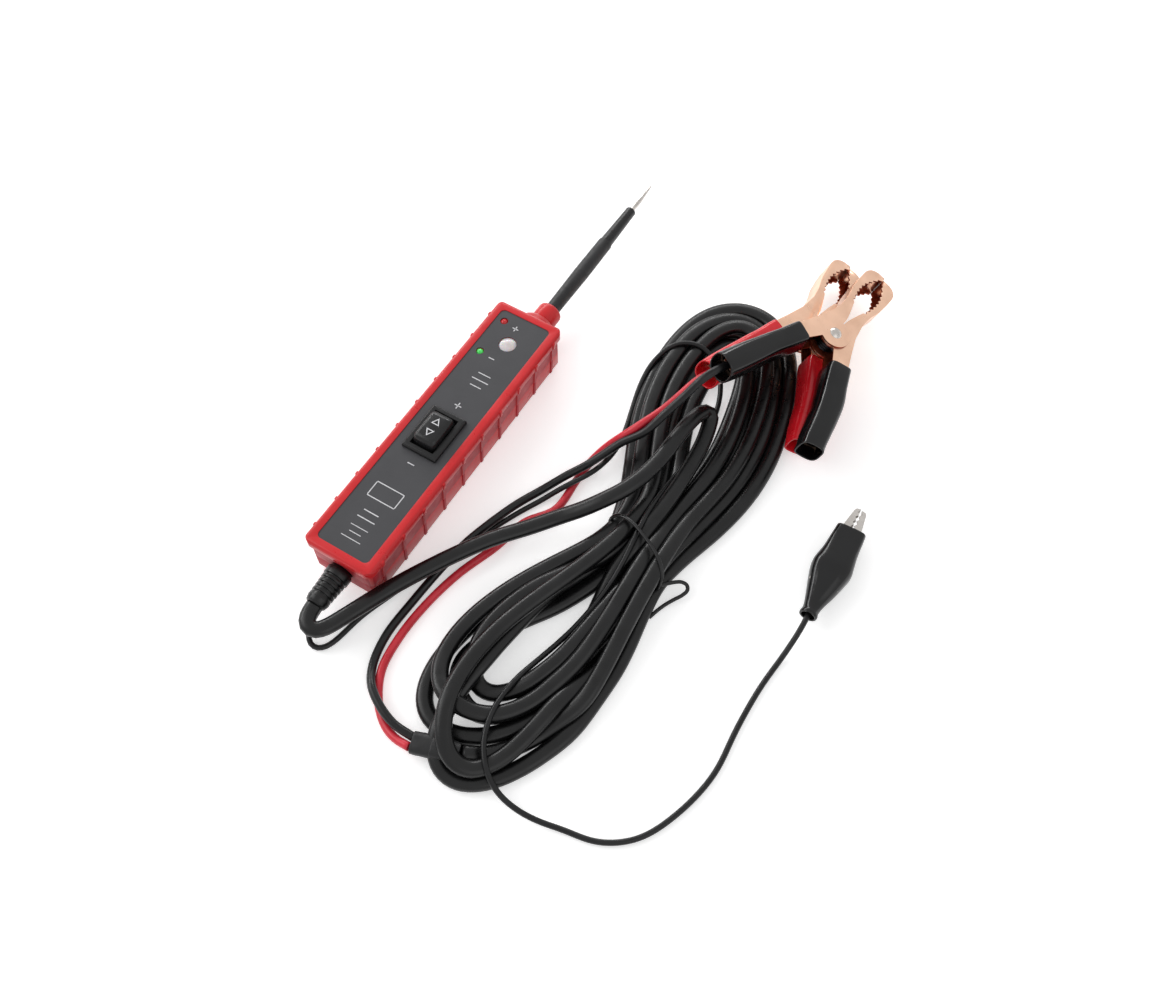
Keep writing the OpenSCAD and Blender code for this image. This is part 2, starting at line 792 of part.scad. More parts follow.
// The inner edge, with its teeth, from the tip back to the handle's end
function jaw_inner() =
    let (a = handle_turn, e = handle_at - 3.1 * [cos(a), sin(a)], last = jaw_l - 2, step = last - teeth_start)
    concat([for (i = [0:2 * tooth_n])
            let (y = last - step * i / (2 * tooth_n)) [mouth_half(y) + (i % 2) * tooth_d, y]],
        [for (i = [1:5])
            let (y = teeth_start - (teeth_start - mouth_start) * i / 5) [mouth_half(y), y]],
        [[0.5, 2], [3, -5], e, e + handle_l * [sin(a), -cos(a)]]);

// One folded half: two flanges and the web between them. The half height is hh
module folded_half(edge, inner, hh, t, ear, bore) {
    difference() {
        union() {
            for (z = [-hh, hh - t])
                translate([0, 0, z])
                    linear_extrude(t) {
                        polygon(concat(edge, back(inner)));
                        circle(ear);
                    }
            translate([0, 0, -hh])
                linear_extrude(2 * hh)
                    polygon(concat(edge, back(inset(edge, t))));
        }
        cylinder(r = bore, h = 3 * hh, center = true);
    }
}

module jaw(hh, clearance) {
    folded_half(jaw_edge(), jaw_inner(), hh, sheet_t, ear_r, rivet_r + clearance);
}

// The tube that is crimped round the lead inside the fixed handle
module lead_crimp() {
    handle_frame()
        translate([0, 0, handle_l - 8])
            difference() {
                union() {
                    cylinder(r = 2.4, h = 6);
                    translate([0, -0.6, 0])
                        cube([3.9 - sheet_t / 2, 1.2, 6]);
                }
                translate([0, 0, 1])
                    cylinder(r = 1.65, h = 6);
            }
}

module handle_frame() {
    translate([handle_at[0], handle_at[1], 0])
        rotate([90, 0, handle_turn])
            children();
}

module rivet() {
    cylinder(r = rivet_r, h = 2 * (jaw_hh + eps), center = true);
    for (s = [0, 180])
        rotate([s, 0, 0])
            translate([0, 0, jaw_hh + eps])
                rotate_extrude()
                    polygon(concat([[0, 0], [head_r, 0]], arc(0, -head_r, sqrt(2) * head_r, 45, 90, 6),
                        [[0, 0.3]]));
}

module coil_spring(turns, coil_r, wire, height, leg) {
    steps = 12 * turns;
    route = concat([[-leg[0], leg[1], -height / 2]],
        [for (i = [0:steps])
            let (a = 180 + 360 * i / 12 + 6 * turns)
            [coil_r * cos(a), coil_r * sin(a), -height / 2 + height * i / steps]],
        [[leg[0], leg[1], height / 2]]);
    tube(route, wire / 2, 6);
}

module handle_boot() {
    handle_frame()
        difference() {
            loft([[0, 4.9, boot_hh, 4], [12, 5, boot_hh, 3.6], [26, 5.4, boot_hh, 3],
                [boot_l, 5.6, boot_hh, 2.6]], 24);
            translate([-3.2, -jaw_hh - boot_gap / 2, -1])
                cube([7.2, 2 * jaw_hh + boot_gap, handle_l + 1.3]);
            translate([0, 0, handle_l])
                loft([[0, 4, boot_hh - boot_t, 2.6],
                    [boot_l + 1 - handle_l, 5.6 - boot_t, boot_hh - boot_t, 2.6]], 24);
        }
}

module tipped(at) {
    translate(at)
        rotate([0, stack_roll, 0])
            rotate([stack_pitch, 0, 0])
                children();
}

module place_red() {
    tipped(red_at)
        rotate([0, 0, red_turn])
            children();
}

module place_black() {
    tipped(red_at)
        translate([black_shift[0], black_shift[1], stack_step])
            rotate([0, 0, black_turn])
                children();
}

module fixed_jaw() {
    color(copper)
        mirror([1, 0, 0]) {
            jaw(jaw_hh, fit);
            lead_crimp();
        }
}

module moving_jaw() {
    color(copper)
        jaw(inner_hh, 0.06);
}

module jaw_rivet() {
    color(nickel)
        rivet();
}

module jaw_spring() {
    color(dark)
        coil_spring(4, 4, wire_d, 2 * (inner_hh - sheet_t) - wire_d - 0.4, [10.2, -8.4]);
}

module red_fixed_jaw() { place_red() fixed_jaw(); }
module red_moving_jaw() { place_red() moving_jaw(); }
module red_rivet() { place_red() jaw_rivet(); }
module red_spring() { place_red() jaw_spring(); }
module red_fixed_boot() { place_red() color(red) mirror([1, 0, 0]) handle_boot(); }
module red_moving_boot() { place_red() color(red) handle_boot(); }
module black_fixed_jaw() { place_black() fixed_jaw(); }
module black_moving_jaw() { place_black() moving_jaw(); }
module black_rivet() { place_black() jaw_rivet(); }
module black_spring() { place_black() jaw_spring(); }
module black_fixed_boot() { place_black() color(dark) mirror([1, 0, 0]) handle_boot(); }
module black_moving_boot() { place_black() color(dark) handle_boot(); }

// The ground clip, in a frame of its own like the clamps'

module place_clip() {
    translate(clip_at)
        rotate([0, 0, clip_turn])
            children();
}

function clip_edge() = [[0.3, clip_l], [1.9, clip_l - 0.4], [2.4, clip_l - 1.4], [4.1, clip_l * 0.45],
    [4.3, 0], [5, -6], [5.6, -clip_handle]];
function clip_inner_edge() = concat(
    [for (i = [0:2 * clip_teeth])
        let (y = clip_l - 0.6 - (clip_l * 0.7) * i / (2 * clip_teeth)) [0.2 + (i % 2) * 0.7, y]],
    [[0.6, 3], [2, -3], [2.6, -clip_handle]]);

module clip_half(hh, clearance) {
    color(nickel)
        folded_half(clip_edge(), clip_inner_edge(), hh, clip_t, clip_ear, clip_rivet_r + clearance);
}

module clip_fixed_jaw() {
    place_clip()
        mirror([1, 0, 0])
            clip_half(clip_hh, fit);
}

module clip_moving_jaw() {
    place_clip()
        clip_half(clip_inner, 0.05);
}

module clip_rivet() {
    color(nickel)
        place_clip() {
            cylinder(r = clip_rivet_r, h = clip_h + 1, center = true);
            for (z = [-clip_hh - 0.5, clip_hh])
                translate([0, 0, z])
                    cylinder(r = clip_rivet_r + 0.7, h = 0.5);
        }
}

module clip_spring() {
    color(dark)
        place_clip()
            coil_spring(3, 1.9, 0.6, 2 * (clip_inner - clip_t) - 1, [4, -6]);
}

module clip_boot() {
    color(dark)
        place_clip()
            translate([0, -clip_boot_l, 0])
                rotate([-90, 0, 0])
                    difference() {
                        loft([[0, 3.5, 3.5, 2], [1.4, 3.5, 3.5, 2], [2, 3, 3, 2], [7, 4.6, 4, 2.1],
                            [12, 7.4, 5.4, 2.4], [17, 7.9, 6, 2.6], [23, 7, 5.8, 2.8],
                            [clip_boot_l + 4, 6.2, 5.2, 3], [clip_boot_l + 13, 5.2, 4.4, 3.2]], 24);
                        translate([0, 0, -eps])
                            loft([[0, ground_d / 2 + 0.3, ground_d / 2 + 0.3, 2],
                                [6, ground_d / 2 + 0.4, ground_d / 2 + 0.4, 2], [10, 5.4, 4.2, 2.4],
                                [12.2, 6.5, 4.4, 3], [17, 7.1, 5, 3.4], [clip_boot_l + 4, 5.4, 4.4, 4],
                                [clip_boot_l + 13 + 2 * eps, 4.6, 3.6, 4]], 24);
                    }
}

upper_shell();
lower_shell();
label_plate();
nose_cap();
probe_rod();
probe_sleeve();
sleeve_cover();
probe_socket();
circuit_board();
red_light();
green_light();
lamp_lens();
lamp_bulb();
circuit_breaker();
switch_body();
switch_terminals();
rocker();
housing_screws();
strain_relief();
main_cable();
cable_hank();
split_sleeve();
red_lead();
black_lead();
ground_lead();
ground_lead_tail();
twist_tie();
red_fixed_jaw();
red_moving_jaw();
red_rivet();
red_spring();
red_fixed_boot();
red_moving_boot();
black_fixed_jaw();
black_moving_jaw();
black_rivet();
black_spring();
black_fixed_boot();
black_moving_boot();
clip_fixed_jaw();
clip_moving_jaw();
clip_rivet();
clip_spring();
clip_boot();
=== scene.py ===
# %% [markdown]
# # An automotive circuit tester, dressed
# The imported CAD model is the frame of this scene: a red housing with a rocker switch and a needle
# probe, a long two-core cable tied in a hank, two battery clamps and a small ground clip.
# The lesson adds what solids can't carry: limp cords, vinyl boots, printed marks and finishes.

# %% Load the frame
import math

import bpy
import numpy as np
from mathutils import Matrix, Vector


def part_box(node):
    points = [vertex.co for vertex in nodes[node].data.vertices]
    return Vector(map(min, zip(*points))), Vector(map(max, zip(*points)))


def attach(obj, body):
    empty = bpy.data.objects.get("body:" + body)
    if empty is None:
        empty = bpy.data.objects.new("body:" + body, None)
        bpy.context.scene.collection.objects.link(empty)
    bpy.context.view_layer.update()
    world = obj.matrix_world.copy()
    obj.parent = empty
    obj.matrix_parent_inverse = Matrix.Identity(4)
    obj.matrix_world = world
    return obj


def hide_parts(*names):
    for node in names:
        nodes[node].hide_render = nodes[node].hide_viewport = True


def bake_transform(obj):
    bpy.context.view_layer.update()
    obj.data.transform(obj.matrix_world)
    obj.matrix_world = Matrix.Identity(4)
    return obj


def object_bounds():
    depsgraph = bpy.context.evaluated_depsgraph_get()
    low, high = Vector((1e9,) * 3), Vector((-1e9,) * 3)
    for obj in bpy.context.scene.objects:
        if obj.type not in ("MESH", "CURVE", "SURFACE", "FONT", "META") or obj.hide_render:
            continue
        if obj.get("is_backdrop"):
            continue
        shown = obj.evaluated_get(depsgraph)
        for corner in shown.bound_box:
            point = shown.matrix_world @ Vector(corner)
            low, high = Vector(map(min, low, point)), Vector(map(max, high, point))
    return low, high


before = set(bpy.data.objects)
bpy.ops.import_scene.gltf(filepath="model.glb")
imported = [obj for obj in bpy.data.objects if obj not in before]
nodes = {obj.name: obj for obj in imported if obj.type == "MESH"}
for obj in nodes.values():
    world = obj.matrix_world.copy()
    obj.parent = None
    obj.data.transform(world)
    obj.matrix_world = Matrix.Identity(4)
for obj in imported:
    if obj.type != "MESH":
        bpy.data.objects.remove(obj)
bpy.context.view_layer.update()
MM = 0.001


def rounded(corner):
    """A place or a size in metres, short enough to print."""
    return [round(v, 4) for v in corner]


def deselect():
    """Nothing is selected or active, so that an operator acts only on what it is given."""
    if bpy.context.mode != "OBJECT":
        bpy.ops.object.mode_set(mode="OBJECT")
    bpy.ops.object.select_all(action="DESELECT")


# %% [markdown]
# ## The camera
# The photograph looks down on the tester from the front right, about 60 degrees above the table.
# The lens and place were worked out from the housing's known lengths, so a plain perspective
# camera with no shift gives the same outline. The clip range suits an object of a hand's size.

# %% The camera
camera_data = bpy.data.cameras.new("photo_camera")
camera_data.sensor_width = 36
camera_data.lens = 37.36
camera_data.clip_start = 0.01
camera_data.clip_end = 20
camera = bpy.data.objects.new("photo_camera", camera_data)
camera.location = (0.17753, -0.18665, 0.39953)
camera.rotation_euler = (math.radians(30.644), 0, math.radians(31.476))
bpy.context.scene.collection.objects.link(camera)
bpy.context.scene.camera = camera
print("camera at", tuple(round(v, 3) for v in camera.location))


# %% [markdown]
# ## Lines for the cords
# Every cord starts as a short list of points in millimetres. A smooth curve goes through them,
# and is cut into equal steps, because both the settling below and the skin want even spacing.
# A Catmull-Rom curve passes through its points, which a Bezier with automatic handles does too,
# but here its knots lie as the square roots of the distances, so it doesn't overshoot where a
# long stretch meets a short one.

# %% A smooth line through points
def smooth_line(points, step):
    """Points in equal steps on one smooth curve through the given ones."""
    p = np.array(points, float)
    p = np.vstack([2 * p[0] - p[1], p, 2 * p[-1] - p[-2]])
    parts = []
    for a, b, c, d in zip(p[:-3], p[1:-2], p[2:-1], p[3:]):
        t1 = np.linalg.norm(b - a) ** 0.5
        t2 = t1 + np.linalg.norm(c - b) ** 0.5
        t3 = t2 + np.linalg.norm(d - c) ** 0.5
        t = np.linspace(t1, t2, 12, endpoint=False)[:, None]
        ab = (t1 - t) / t1 * a + t / t1 * b
        bc = ((t2 - t) * b + (t - t1) * c) / (t2 - t1)
        cd = ((t3 - t) * c + (t - t2) * d) / (t3 - t2)
        abc = ((t2 - t) * ab + t * bc) / t2
        bcd = ((t3 - t) * bc + (t - t1) * cd) / (t3 - t1)
        parts.append(((t2 - t) * abc + (t - t1) * bcd) / (t2 - t1))
    return even(np.vstack([*parts, p[-2:-1]]), step)


def even(line, step):
    """The same line in equal steps."""
    gone = np.concatenate([[0], np.cumsum(np.linalg.norm(np.diff(line, axis=0), axis=1))])
    wanted = np.linspace(0, gone[-1], max(2, round(gone[-1] / step) + 1))
    return np.stack([np.interp(wanted, gone, line[:, k]) for k in range(3)], 1)


def length_of(line):
    """How long a line is, in its own unit."""
    return float(np.linalg.norm(np.diff(line, axis=0), axis=1).sum())


print("a test line is", round(length_of(smooth_line([[0, 0, 0], [3, 4, 0], [6, 8, 0]], 1)), 2), "mm long")


# %% [markdown]
# ## The routes
# These are the cords' points as the CAD part has them. The main cable is flat, because two cores
# lie side by side in it. It leaves the housing, turns back along it and goes over the hank, where
# it folds. Listed points follow the photograph more closely than a cord that is let fall would.

# %% The main cable's run and fold, in millimetres
CABLE_W = 6.2
CABLE_H = 4.4
MAIN_ROUTE = [[0, -78, 11], [-0.1, -81.5, 11], [0.8, -85.4, 11], [3.4, -87.8, 10.6],
    [6.6, -86.9, 10.2], [8.8, -82.8, 10.1], [11.5, -76.5, 10.2], [15.5, -67, 10.5],
    [20, -55.5, 9.5], [25, -45, 9], [32, -32.5, 9], [38, -23, 8.8], [47.5, -11, 8.5],
    [54.5, -2, 9], [60.5, 3.5, 11.5], [66, 9.5, 14.6], [70, 15, 16], [73.3, 23, 16.4],
    [75.5, 34, 16.4], [76.2, 48, 16.2]]
FOLD_ROUTE = [[76.9, 57, 15.8], [78.2, 63.5, 15], [80.9, 66.3, 13], [83, 63.6, 10.9],
    [83.6, 55, 9.8], [84.2, 42, 9.6], [84.3, 24, 10.2], [84.3, 12, 10.8]]
print(len(MAIN_ROUTE), "points to the hank and", len(FOLD_ROUTE), "in the fold")

# %% [markdown]
# The thin leads are round. The ground lead comes out beside the cable, dives under the hank,
# crosses it and ends in the small clip. The red and the black lead run from the battery clamps'
# handles, where each is crimped to the steel, over the hank and down to the split sleeve.

# %% The thin leads, in millimetres
GROUND_D = 2.1
LEAD_D = 3.2
GROUND_ROUTE = [[0.8, -75, 7.4], [0.4, -78, 6.4], [0, -81.5, 4.8], [0.4, -85.3, 3],
    [2, -88.5, 1.8], [5, -90.4, 1.3], [8.4, -89.2, 1.3], [10.4, -85, 1.3], [11.5, -78.5, 1.3],
    [12.7, -71, 1.3], [16, -61, 1.3], [22, -44, 1.3], [27.5, -30, 1.3], [33, -16.5, 1.3],
    [37.5, -5.5, 1.3], [42.5, 4.5, 1.3], [46, 10, 3.6], [49, 14.5, 4.9], [54.5, 25, 4.9]]
GROUND_IN_HANK = [[57, 35, 3.5], [55.5, 46, 1.5], [50.5, 57, 1.5], [47.2, 67, 1.5], [46, 77, 1.5],
    [46.3, 86, 2.5], [49, 92.5, 7], [54.5, 96.5, 10.5], [61.5, 97.5, 10.8], [68.5, 96, 8],
    [74.5, 91.5, 3], [78.5, 84, 1.4], [80.5, 74, 1.4], [80.5, 64, 3], [80.5, 54, 5], [81, 42, 10],
    [82, 28, 12], [84, 12, 13.5], [85.5, 0, 13.8], [86, -14, 13], [84, -30, 12.5],
    [80, -46, 11.5], [76, -60, 11.3], [73.8, -72, 11], [74.5, -84, 10.5], [79, -94, 9.5],
    [84.5, -99, 9]]
GROUND_TAIL = [[90, -103, 6.5], [96, -103, 2.5], [104, -102, 1.3], [114, -98.5, 1.3],
    [127, -96, 1.3], [138, -88, 1.3], [145, -74, 1.3], [149, -56, 1.3], [148, -38, 1.3],
    [148, -20, 1.3], [149.5, -5, 1.6], [150.5, 5, 6], [150.2, 13, 6.3]]
RED_ROUTE = [[83, 102.9, 17.4], [81.2, 97.3, 18.6], [79.5, 91.7, 19.8], [77.9, 86, 21],
    [73.7, 73, 23.8], [71.8, 67, 24.4], [69, 59, 22], [66, 52, 19.5],
    [61, 42, 17.2], [53, 34.5, 7.5], [49.5, 29, 2], [49, 18.5, 1.7], [49, 3, 1.7],
    [42, -8, 1.7], [38.5, -22.5, 1.7], [33, -39, 1.7], [30, -56, 1.7], [29.5, -71, 1.7],
    [31.5, -84, 1.7], [37.5, -94, 1.7], [44, -99.5, 1.8], [50.5, -102, 3], [57, -102.3, 4.3]]
BLACK_ROUTE = [[92.6, 98.9, 28], [90.2, 93.5, 29.4], [87.8, 88.2, 30.8], [85.6, 82.8, 32.2],
    [80, 70.5, 35.5], [76.5, 63.5, 34.5], [73, 57, 29],
    [69, 49, 23.5], [65, 41, 18.3], [58.5, 35.5, 13.2], [53.5, 28.5, 8.8], [50, 23.5, 6.2],
    [45.5, 16.5, 4.6], [40.5, 8.5, 2], [35.5, -4, 3.2], [31.5, -18, 4.3], [29, -28, 4.3],
    [27, -40, 3.2], [25.3, -56, 1.7], [25, -72.5, 1.7], [28, -84.5, 2.2], [34.5, -92.5, 5.1],
    [46.5, -98.3, 5.1], [57, -98.9, 4.6]]
print(len(GROUND_ROUTE + GROUND_IN_HANK + GROUND_TAIL), "points on the ground lead")

# %% [markdown]
# ## The hank's turns
# The rest of the cable is wound back and forth by hand and tied at the waist, so its turns are
# uneven: six long figures, narrow at the tie and open at both ends. One measured line would look
# like a machine's coil. So the upper ends share one loop, and each turn keeps a lane inside it,
# given as its distance from that line and its level in the pile, on the left and on the right.
# The lower ends differ more, so each has its own line.

# %% Where the turns run
NECK = (85.0, 0.5)
ACROSS_NECK = (0.9, -0.436)
NECK_SQUEEZE = 0.95
LEVEL_STEP = 4.3
PILE_GAP = 0.1
SLEEVE_END = [73.5, -95.2, 5.5]
UPPER_LOOP = [(72.5, 16), (66.5, 30), (59.5, 43), (54, 57), (50.6, 73), (49.8, 88), (50.8, 105.5),
    (55.5, 119.5), (65, 127.5), (76, 128), (87, 120.8), (94.2, 109.5), (98.2, 98.5), (101.2, 88.5),
    (103.8, 78.5), (107, 66.5), (109.3, 54), (108.5, 40), (105, 26), (100, 12)]
UPPER_LANES = [(12.4, 0, 18.3, 0), (17.5, 1, 15.5, 1), (3.2, 1, 6.2, 0), (0, 0, 0, 0),
    (6.2, 0, 12.3, 0), (9.4, 1, 9.0, 1)]
# Through the tie: how far across, and on which level.
NECK_UP = [(-1, 0), (-3.8, 1), (-10, 1), (-13, 0), (-7, 0), (-7, 2)]
NECK_DOWN = [(-0.6, 2), (2.4, 1), (5.6, 2), (8.8, 1), (12.6, 0), (5.6, 0), (11, 2)]
# The lower loops, from the right side round the foot to the left: x, y and level.
LOWER_LOOPS = [
    [(85.5, -18, 1.4), (87.5, -36, 1), (87.5, -54, 0), (85, -69, 0), (79.5, -79, 0),
     (71.5, -84.5, 0), (62, -84, 0), (56, -77, 0), (55.5, -64, 0), (59.5, -48, 0), (67, -33, 0),
     (75, -16, 0)],
    [(87.5, -18, 1), (88.5, -36, 1), (86, -52, 1), (81.5, -64, 1), (75, -72, 1), (66.5, -76, 1),
     (58.5, -75, 1), (53.3, -68, 1), (53, -57, 1), (57, -43, 1), (64.5, -29, 1), (73, -14, 1)],
    [(90, -18, 2), (91.5, -36, 2), (91, -53, 1), (87.5, -65, 1), (81.5, -75.5, 1),
     (73, -81.5, 1), (63, -84, 1), (54, -82.5, 1), (48.5, -76.5, 2), (46.8, -67, 2),
     (48.5, -53, 2), (54, -38, 1.6), (61.5, -22, 1.2), (69.5, -8, 1)],
    [(92.5, -18, 0.6), (93, -36, 0), (91.5, -55, 0), (88, -70, 0), (81.5, -82, 0),
     (72.5, -89, 0), (62, -93.5, 0), (53.5, -94, 0), (48.8, -89.5, 0), (46.8, -81.5, 0),
     (46.5, -70, 0), (48, -55, 0), (53, -39, 0), (60.5, -23, 0), (68, -8, 0)],
    [(98, -18, 0), (98.3, -36, 0), (97, -55, 0), (95, -72, 0), (92.5, -85, 0), (88.5, -96, 0),
     (82, -105, 0), (73.5, -107.5, 0), (65.5, -104, 0), (60.8, -95.5, 0), (60, -84, 1),
     (60, -68, 1), (62.5, -52, 1), (66, -36, 1), (70, -19, 0.5)],
    [(92, -16, 0.5), (94.5, -34, 1), (93.8, -55, 1), (92, -70, 1), (90, -83, 1), (86, -94, 1),
     (79, -101.5, 1), (71.5, -102, 1), (64.5, -97, 1.4), (61.5, -88, 2), (59, -78, 2),
     (58.8, -64, 2), (61.5, -48, 2), (65.5, -33, 2), (71, -18, 2)]]
LAST_RUN = [(95, -18, 1.8), (96, -34, 1.6), (95.2, -50, 1.2), (93, -64, 0.8), (90, -76, 0.4),
    (85, -86.5, 0.4), (79.5, -92.5, 0.6)]
print(len(LOWER_LOOPS), "turns, on", len(UPPER_LANES), "lanes of the upper loop")


# %% The turns as drawn
def level_z(level):
    """The height of a cable's centre on a level of the pile."""
    return CABLE_H / 2 + PILE_GAP + LEVEL_STEP * level


def through_neck(slot):
    """The point where a strand passes the tie."""
    across, level = slot
    x = NECK[0] + ACROSS_NECK[0] * across
    y = NECK[1] + ACROSS_NECK[1] * across
    return [x, y, level_z(NECK_SQUEEZE * level)]


def lane_of_upper_loop(left, left_level, right, right_level):
    """The upper loop's points moved inwards, by a distance that changes from left to right."""
    p = np.array(UPPER_LOOP, float)
    along = np.gradient(p, axis=0)
    along /= np.linalg.norm(along, axis=1)[:, None]
    share = np.linspace(0, 1, len(p))
    share = share * share * (3 - 2 * share)
    inwards = np.stack([along[:, 1], -along[:, 0]], 1)
    p = p + inwards * (left + (right - left) * share)[:, None]
    levels = left_level + (right_level - left_level) * share
    return [[x, y, level_z(level)] for (x, y), level in zip(p, levels)]


def drawn_turns():
    """Every turn of the hank as drawn, from the fold by the clamps to the split sleeve."""
    points = []
    for down, loop, up, upper in zip(NECK_DOWN, LOWER_LOOPS, NECK_UP, UPPER_LANES):
        points.append(through_neck(down))
        points += [[x, y, level_z(level)] for x, y, level in loop]
        points.append(through_neck(up))
        points += lane_of_upper_loop(*upper)
    points.append(through_neck(NECK_DOWN[-1]))
    return points + [[x, y, level_z(level)] for x, y, level in LAST_RUN]


print("the drawn turns are", round(length_of(smooth_line(drawn_turns(), 3))), "mm long")


# %% [markdown]
# ## Letting the hank settle
# A drawn hank has turns that cut into each other. Real ones are pushed apart, sag onto what is
# below and are held by the tie. Blender's cloth and soft bodies know nothing of a cord's
# thickness, so a few short functions do it to the cords' points. A flat cable is wider than it is
# high, so nearness is measured with an ellipse: a pair touches where the number q falls under 1.

# %% Which points may touch
NEAR_MM = 9
NEAR_HEIGHT_MM = 8
OWN_NEIGHBOURS = 7


def near_pairs(p, owner):
    """Pairs of points that lie close, and aren't neighbours on the same cord."""
    flat = p[:, None, :2] - p[None, :, :2]
    close = (flat**2).sum(2) < NEAR_MM**2
    close &= np.abs(p[:, None, 2] - p[None, :, 2]) < NEAR_HEIGHT_MM
    i, j = np.nonzero(np.triu(close, 1))
    keep = (owner[i] != owner[j]) | (j - i > OWN_NEIGHBOURS)
    return i[keep], j[keep]


# %% Pushing apart and holding together
PUSH_SHARE = 0.35
LONGEST_PUSH_MM = 1.5
PULL_SHARE = 0.25
EASE_SHARE = 0.06
WAVES = ((4, 0.3), (2, 0.35), (1, 0.25))


def push_apart(p, pairs, wide, high, loose):
    """Points of a pair that overlap move apart, along the ellipse's normal."""
    i, j = pairs
    gap = p[j] - p[i]
    q = np.sqrt((gap[:, 0] ** 2 + gap[:, 1] ** 2) / wide**2 + gap[:, 2] ** 2 / high**2)
    hit = q < 1
    gap, q = gap[hit], np.maximum(q[hit], 0.05)
    push = gap / np.stack([wide[hit], wide[hit], high[hit]], 1) ** 2
    push /= np.maximum(np.linalg.norm(push, axis=1)[:, None], 1e-9)
    overlap = (1 - q) * np.linalg.norm(gap, axis=1) / q
    push *= PUSH_SHARE * np.minimum(overlap, LONGEST_PUSH_MM)[:, None]
    move = np.zeros_like(p)
    np.add.at(move, j[hit], push)
    np.add.at(move, i[hit], -push)
    p += move * loose


def keep_length(p, links, rest, loose):
    """A link that is longer than it was pulls its ends together."""
    span = p[links + 1] - p[links]
    size = np.linalg.norm(span, axis=1)
    pull = (PULL_SHARE * np.maximum(size - rest, 0) / np.maximum(size, 1e-9))[:, None] * span
    move = np.zeros_like(p)
    np.add.at(move, links, pull)
    np.add.at(move, links + 1, -pull)
    p += move * loose


def soften_bends(p, inner, loose):
    """Sharp bends are eased, long waves first, as the jacket's stiffness does."""
    k = inner[1]
    p[k] += EASE_SHARE * ((p[k - 1] + p[k + 1]) / 2 - p[k]) * loose[k]
    for reach, share in WAVES:
        bend = np.zeros_like(p)
        k = inner[reach]
        bend[k] = p[k] - (p[k - reach] + p[k + reach]) / 2
        k = inner[2 * reach]
        p[k] -= share * (bend[k] - (bend[k - reach] + bend[k + reach]) / 2) * loose[k]


# %% [markdown]
# The cords may not go everywhere: they stay above the floor, inside the tie, and under the handles
# of the clamps, which swing over the hank when they are squeezed. Without the last rule the boots
# would cut into the turns at the joints' limits.

# %% Floor, handles and tie
TIE_HALF_WIDTH = 15.8
TIE_SLOPE = 0.45
TIE_REACH = 5
FREE_HEIGHT = 60.0


def room_under_clamps(p):
    """How high a strand may reach at each point."""
    x, y = p[:, 0], p[:, 1]
    room = np.full(len(p), FREE_HEIGHT)
    swept = np.clip(9.6 - (x - 88) * 0.32 - (y - 84) * 0.05, 4.5, 13)
    room = np.where((y > 66) & (x > 80), swept, room)
    return np.where((y > 104) & (x > 80), np.clip(9.5 - (x - 84) * 0.45, 4.5, 12), room)


def hold_in(p, held, half_w, half_h, on_floor):
    """Points go back above the floor, under the handles and inside the tie."""
    p[held, 2] = np.maximum(p[held, 2], on_floor[held])
    top = np.maximum(room_under_clamps(p) - half_h, on_floor)
    p[held, 2] = np.minimum(p[held, 2], top[held])
    from_tie = np.abs(p[:, 1] - NECK[1] + TIE_SLOPE * (p[:, 0] - NECK[0]))
    tied = held & (from_tie < TIE_REACH)
    room = TIE_HALF_WIDTH - half_w[tied]
    p[tied, 0] = np.clip(p[tied, 0], NECK[0] - room, NECK[0] + room)


# %% [markdown]
# Each round lets the loose points down a little, draws them back towards the hand-drawn place,
# eases the bends, and then pushes apart, keeps lengths and holds in, three times over.

# %% Settle the cords of the hank
ROUNDS = 260
SAG_MM = 0.10
PULL_HOME = 0.05
FLOOR_GAP = 0.05
POINT_STEP = 3


def settle(lines, sizes, free):
    """Lines of points pushed apart, smoothed and let down onto the floor and each other."""
    counts = [len(line) for line in lines]
    p = np.vstack(lines).copy()
    drawn = p.copy()
    half_w = np.concatenate([np.full(n, w / 2) for n, (w, h) in zip(counts, sizes)])
    half_h = np.concatenate([np.full(n, h / 2) for n, (w, h) in zip(counts, sizes)])
    owner = np.concatenate([np.full(n, i) for i, n in enumerate(counts)])
    loose = np.concatenate(free)[:, None]
    held = loose[:, 0] > 0
    on_floor = half_h + FLOOR_GAP
    links = np.flatnonzero(owner[:-1] == owner[1:])
    rest = np.linalg.norm(p[links + 1] - p[links], axis=1)
    inner = {}
    for reach in (1, 2, 4, 8):
        same = owner[: len(p) - 2 * reach] == owner[2 * reach :]
        inner[reach] = np.arange(reach, len(p) - reach)[same]
    for step in range(ROUNDS):
        if step % 6 == 0:
            i, j = near_pairs(p, owner)
            wide, high = half_w[i] + half_w[j], half_h[i] + half_h[j]
        p[:, 2] -= SAG_MM * loose[:, 0]
        p[:, :2] += PULL_HOME * (drawn[:, :2] - p[:, :2]) * loose
        soften_bends(p, inner, loose)
        for _ in range(3):
            push_apart(p, (i, j), wide, high, loose)
            keep_length(p, links, rest, loose)
            hold_in(p, held, half_w, half_h, on_floor)
    return np.split(p, np.cumsum(counts)[:-1])


# %% [markdown]
# The stretches that something holds don't settle: the run from the housing to the fold, the end in
# the split sleeve, and the ground lead where it lies by itself on the table.

# %% The lines of the cable and of the ground lead
def nearest(line, point):
    """Which point of a line lies nearest to a place."""
    return int(np.argmin(np.linalg.norm(line - np.array(point), axis=1)))


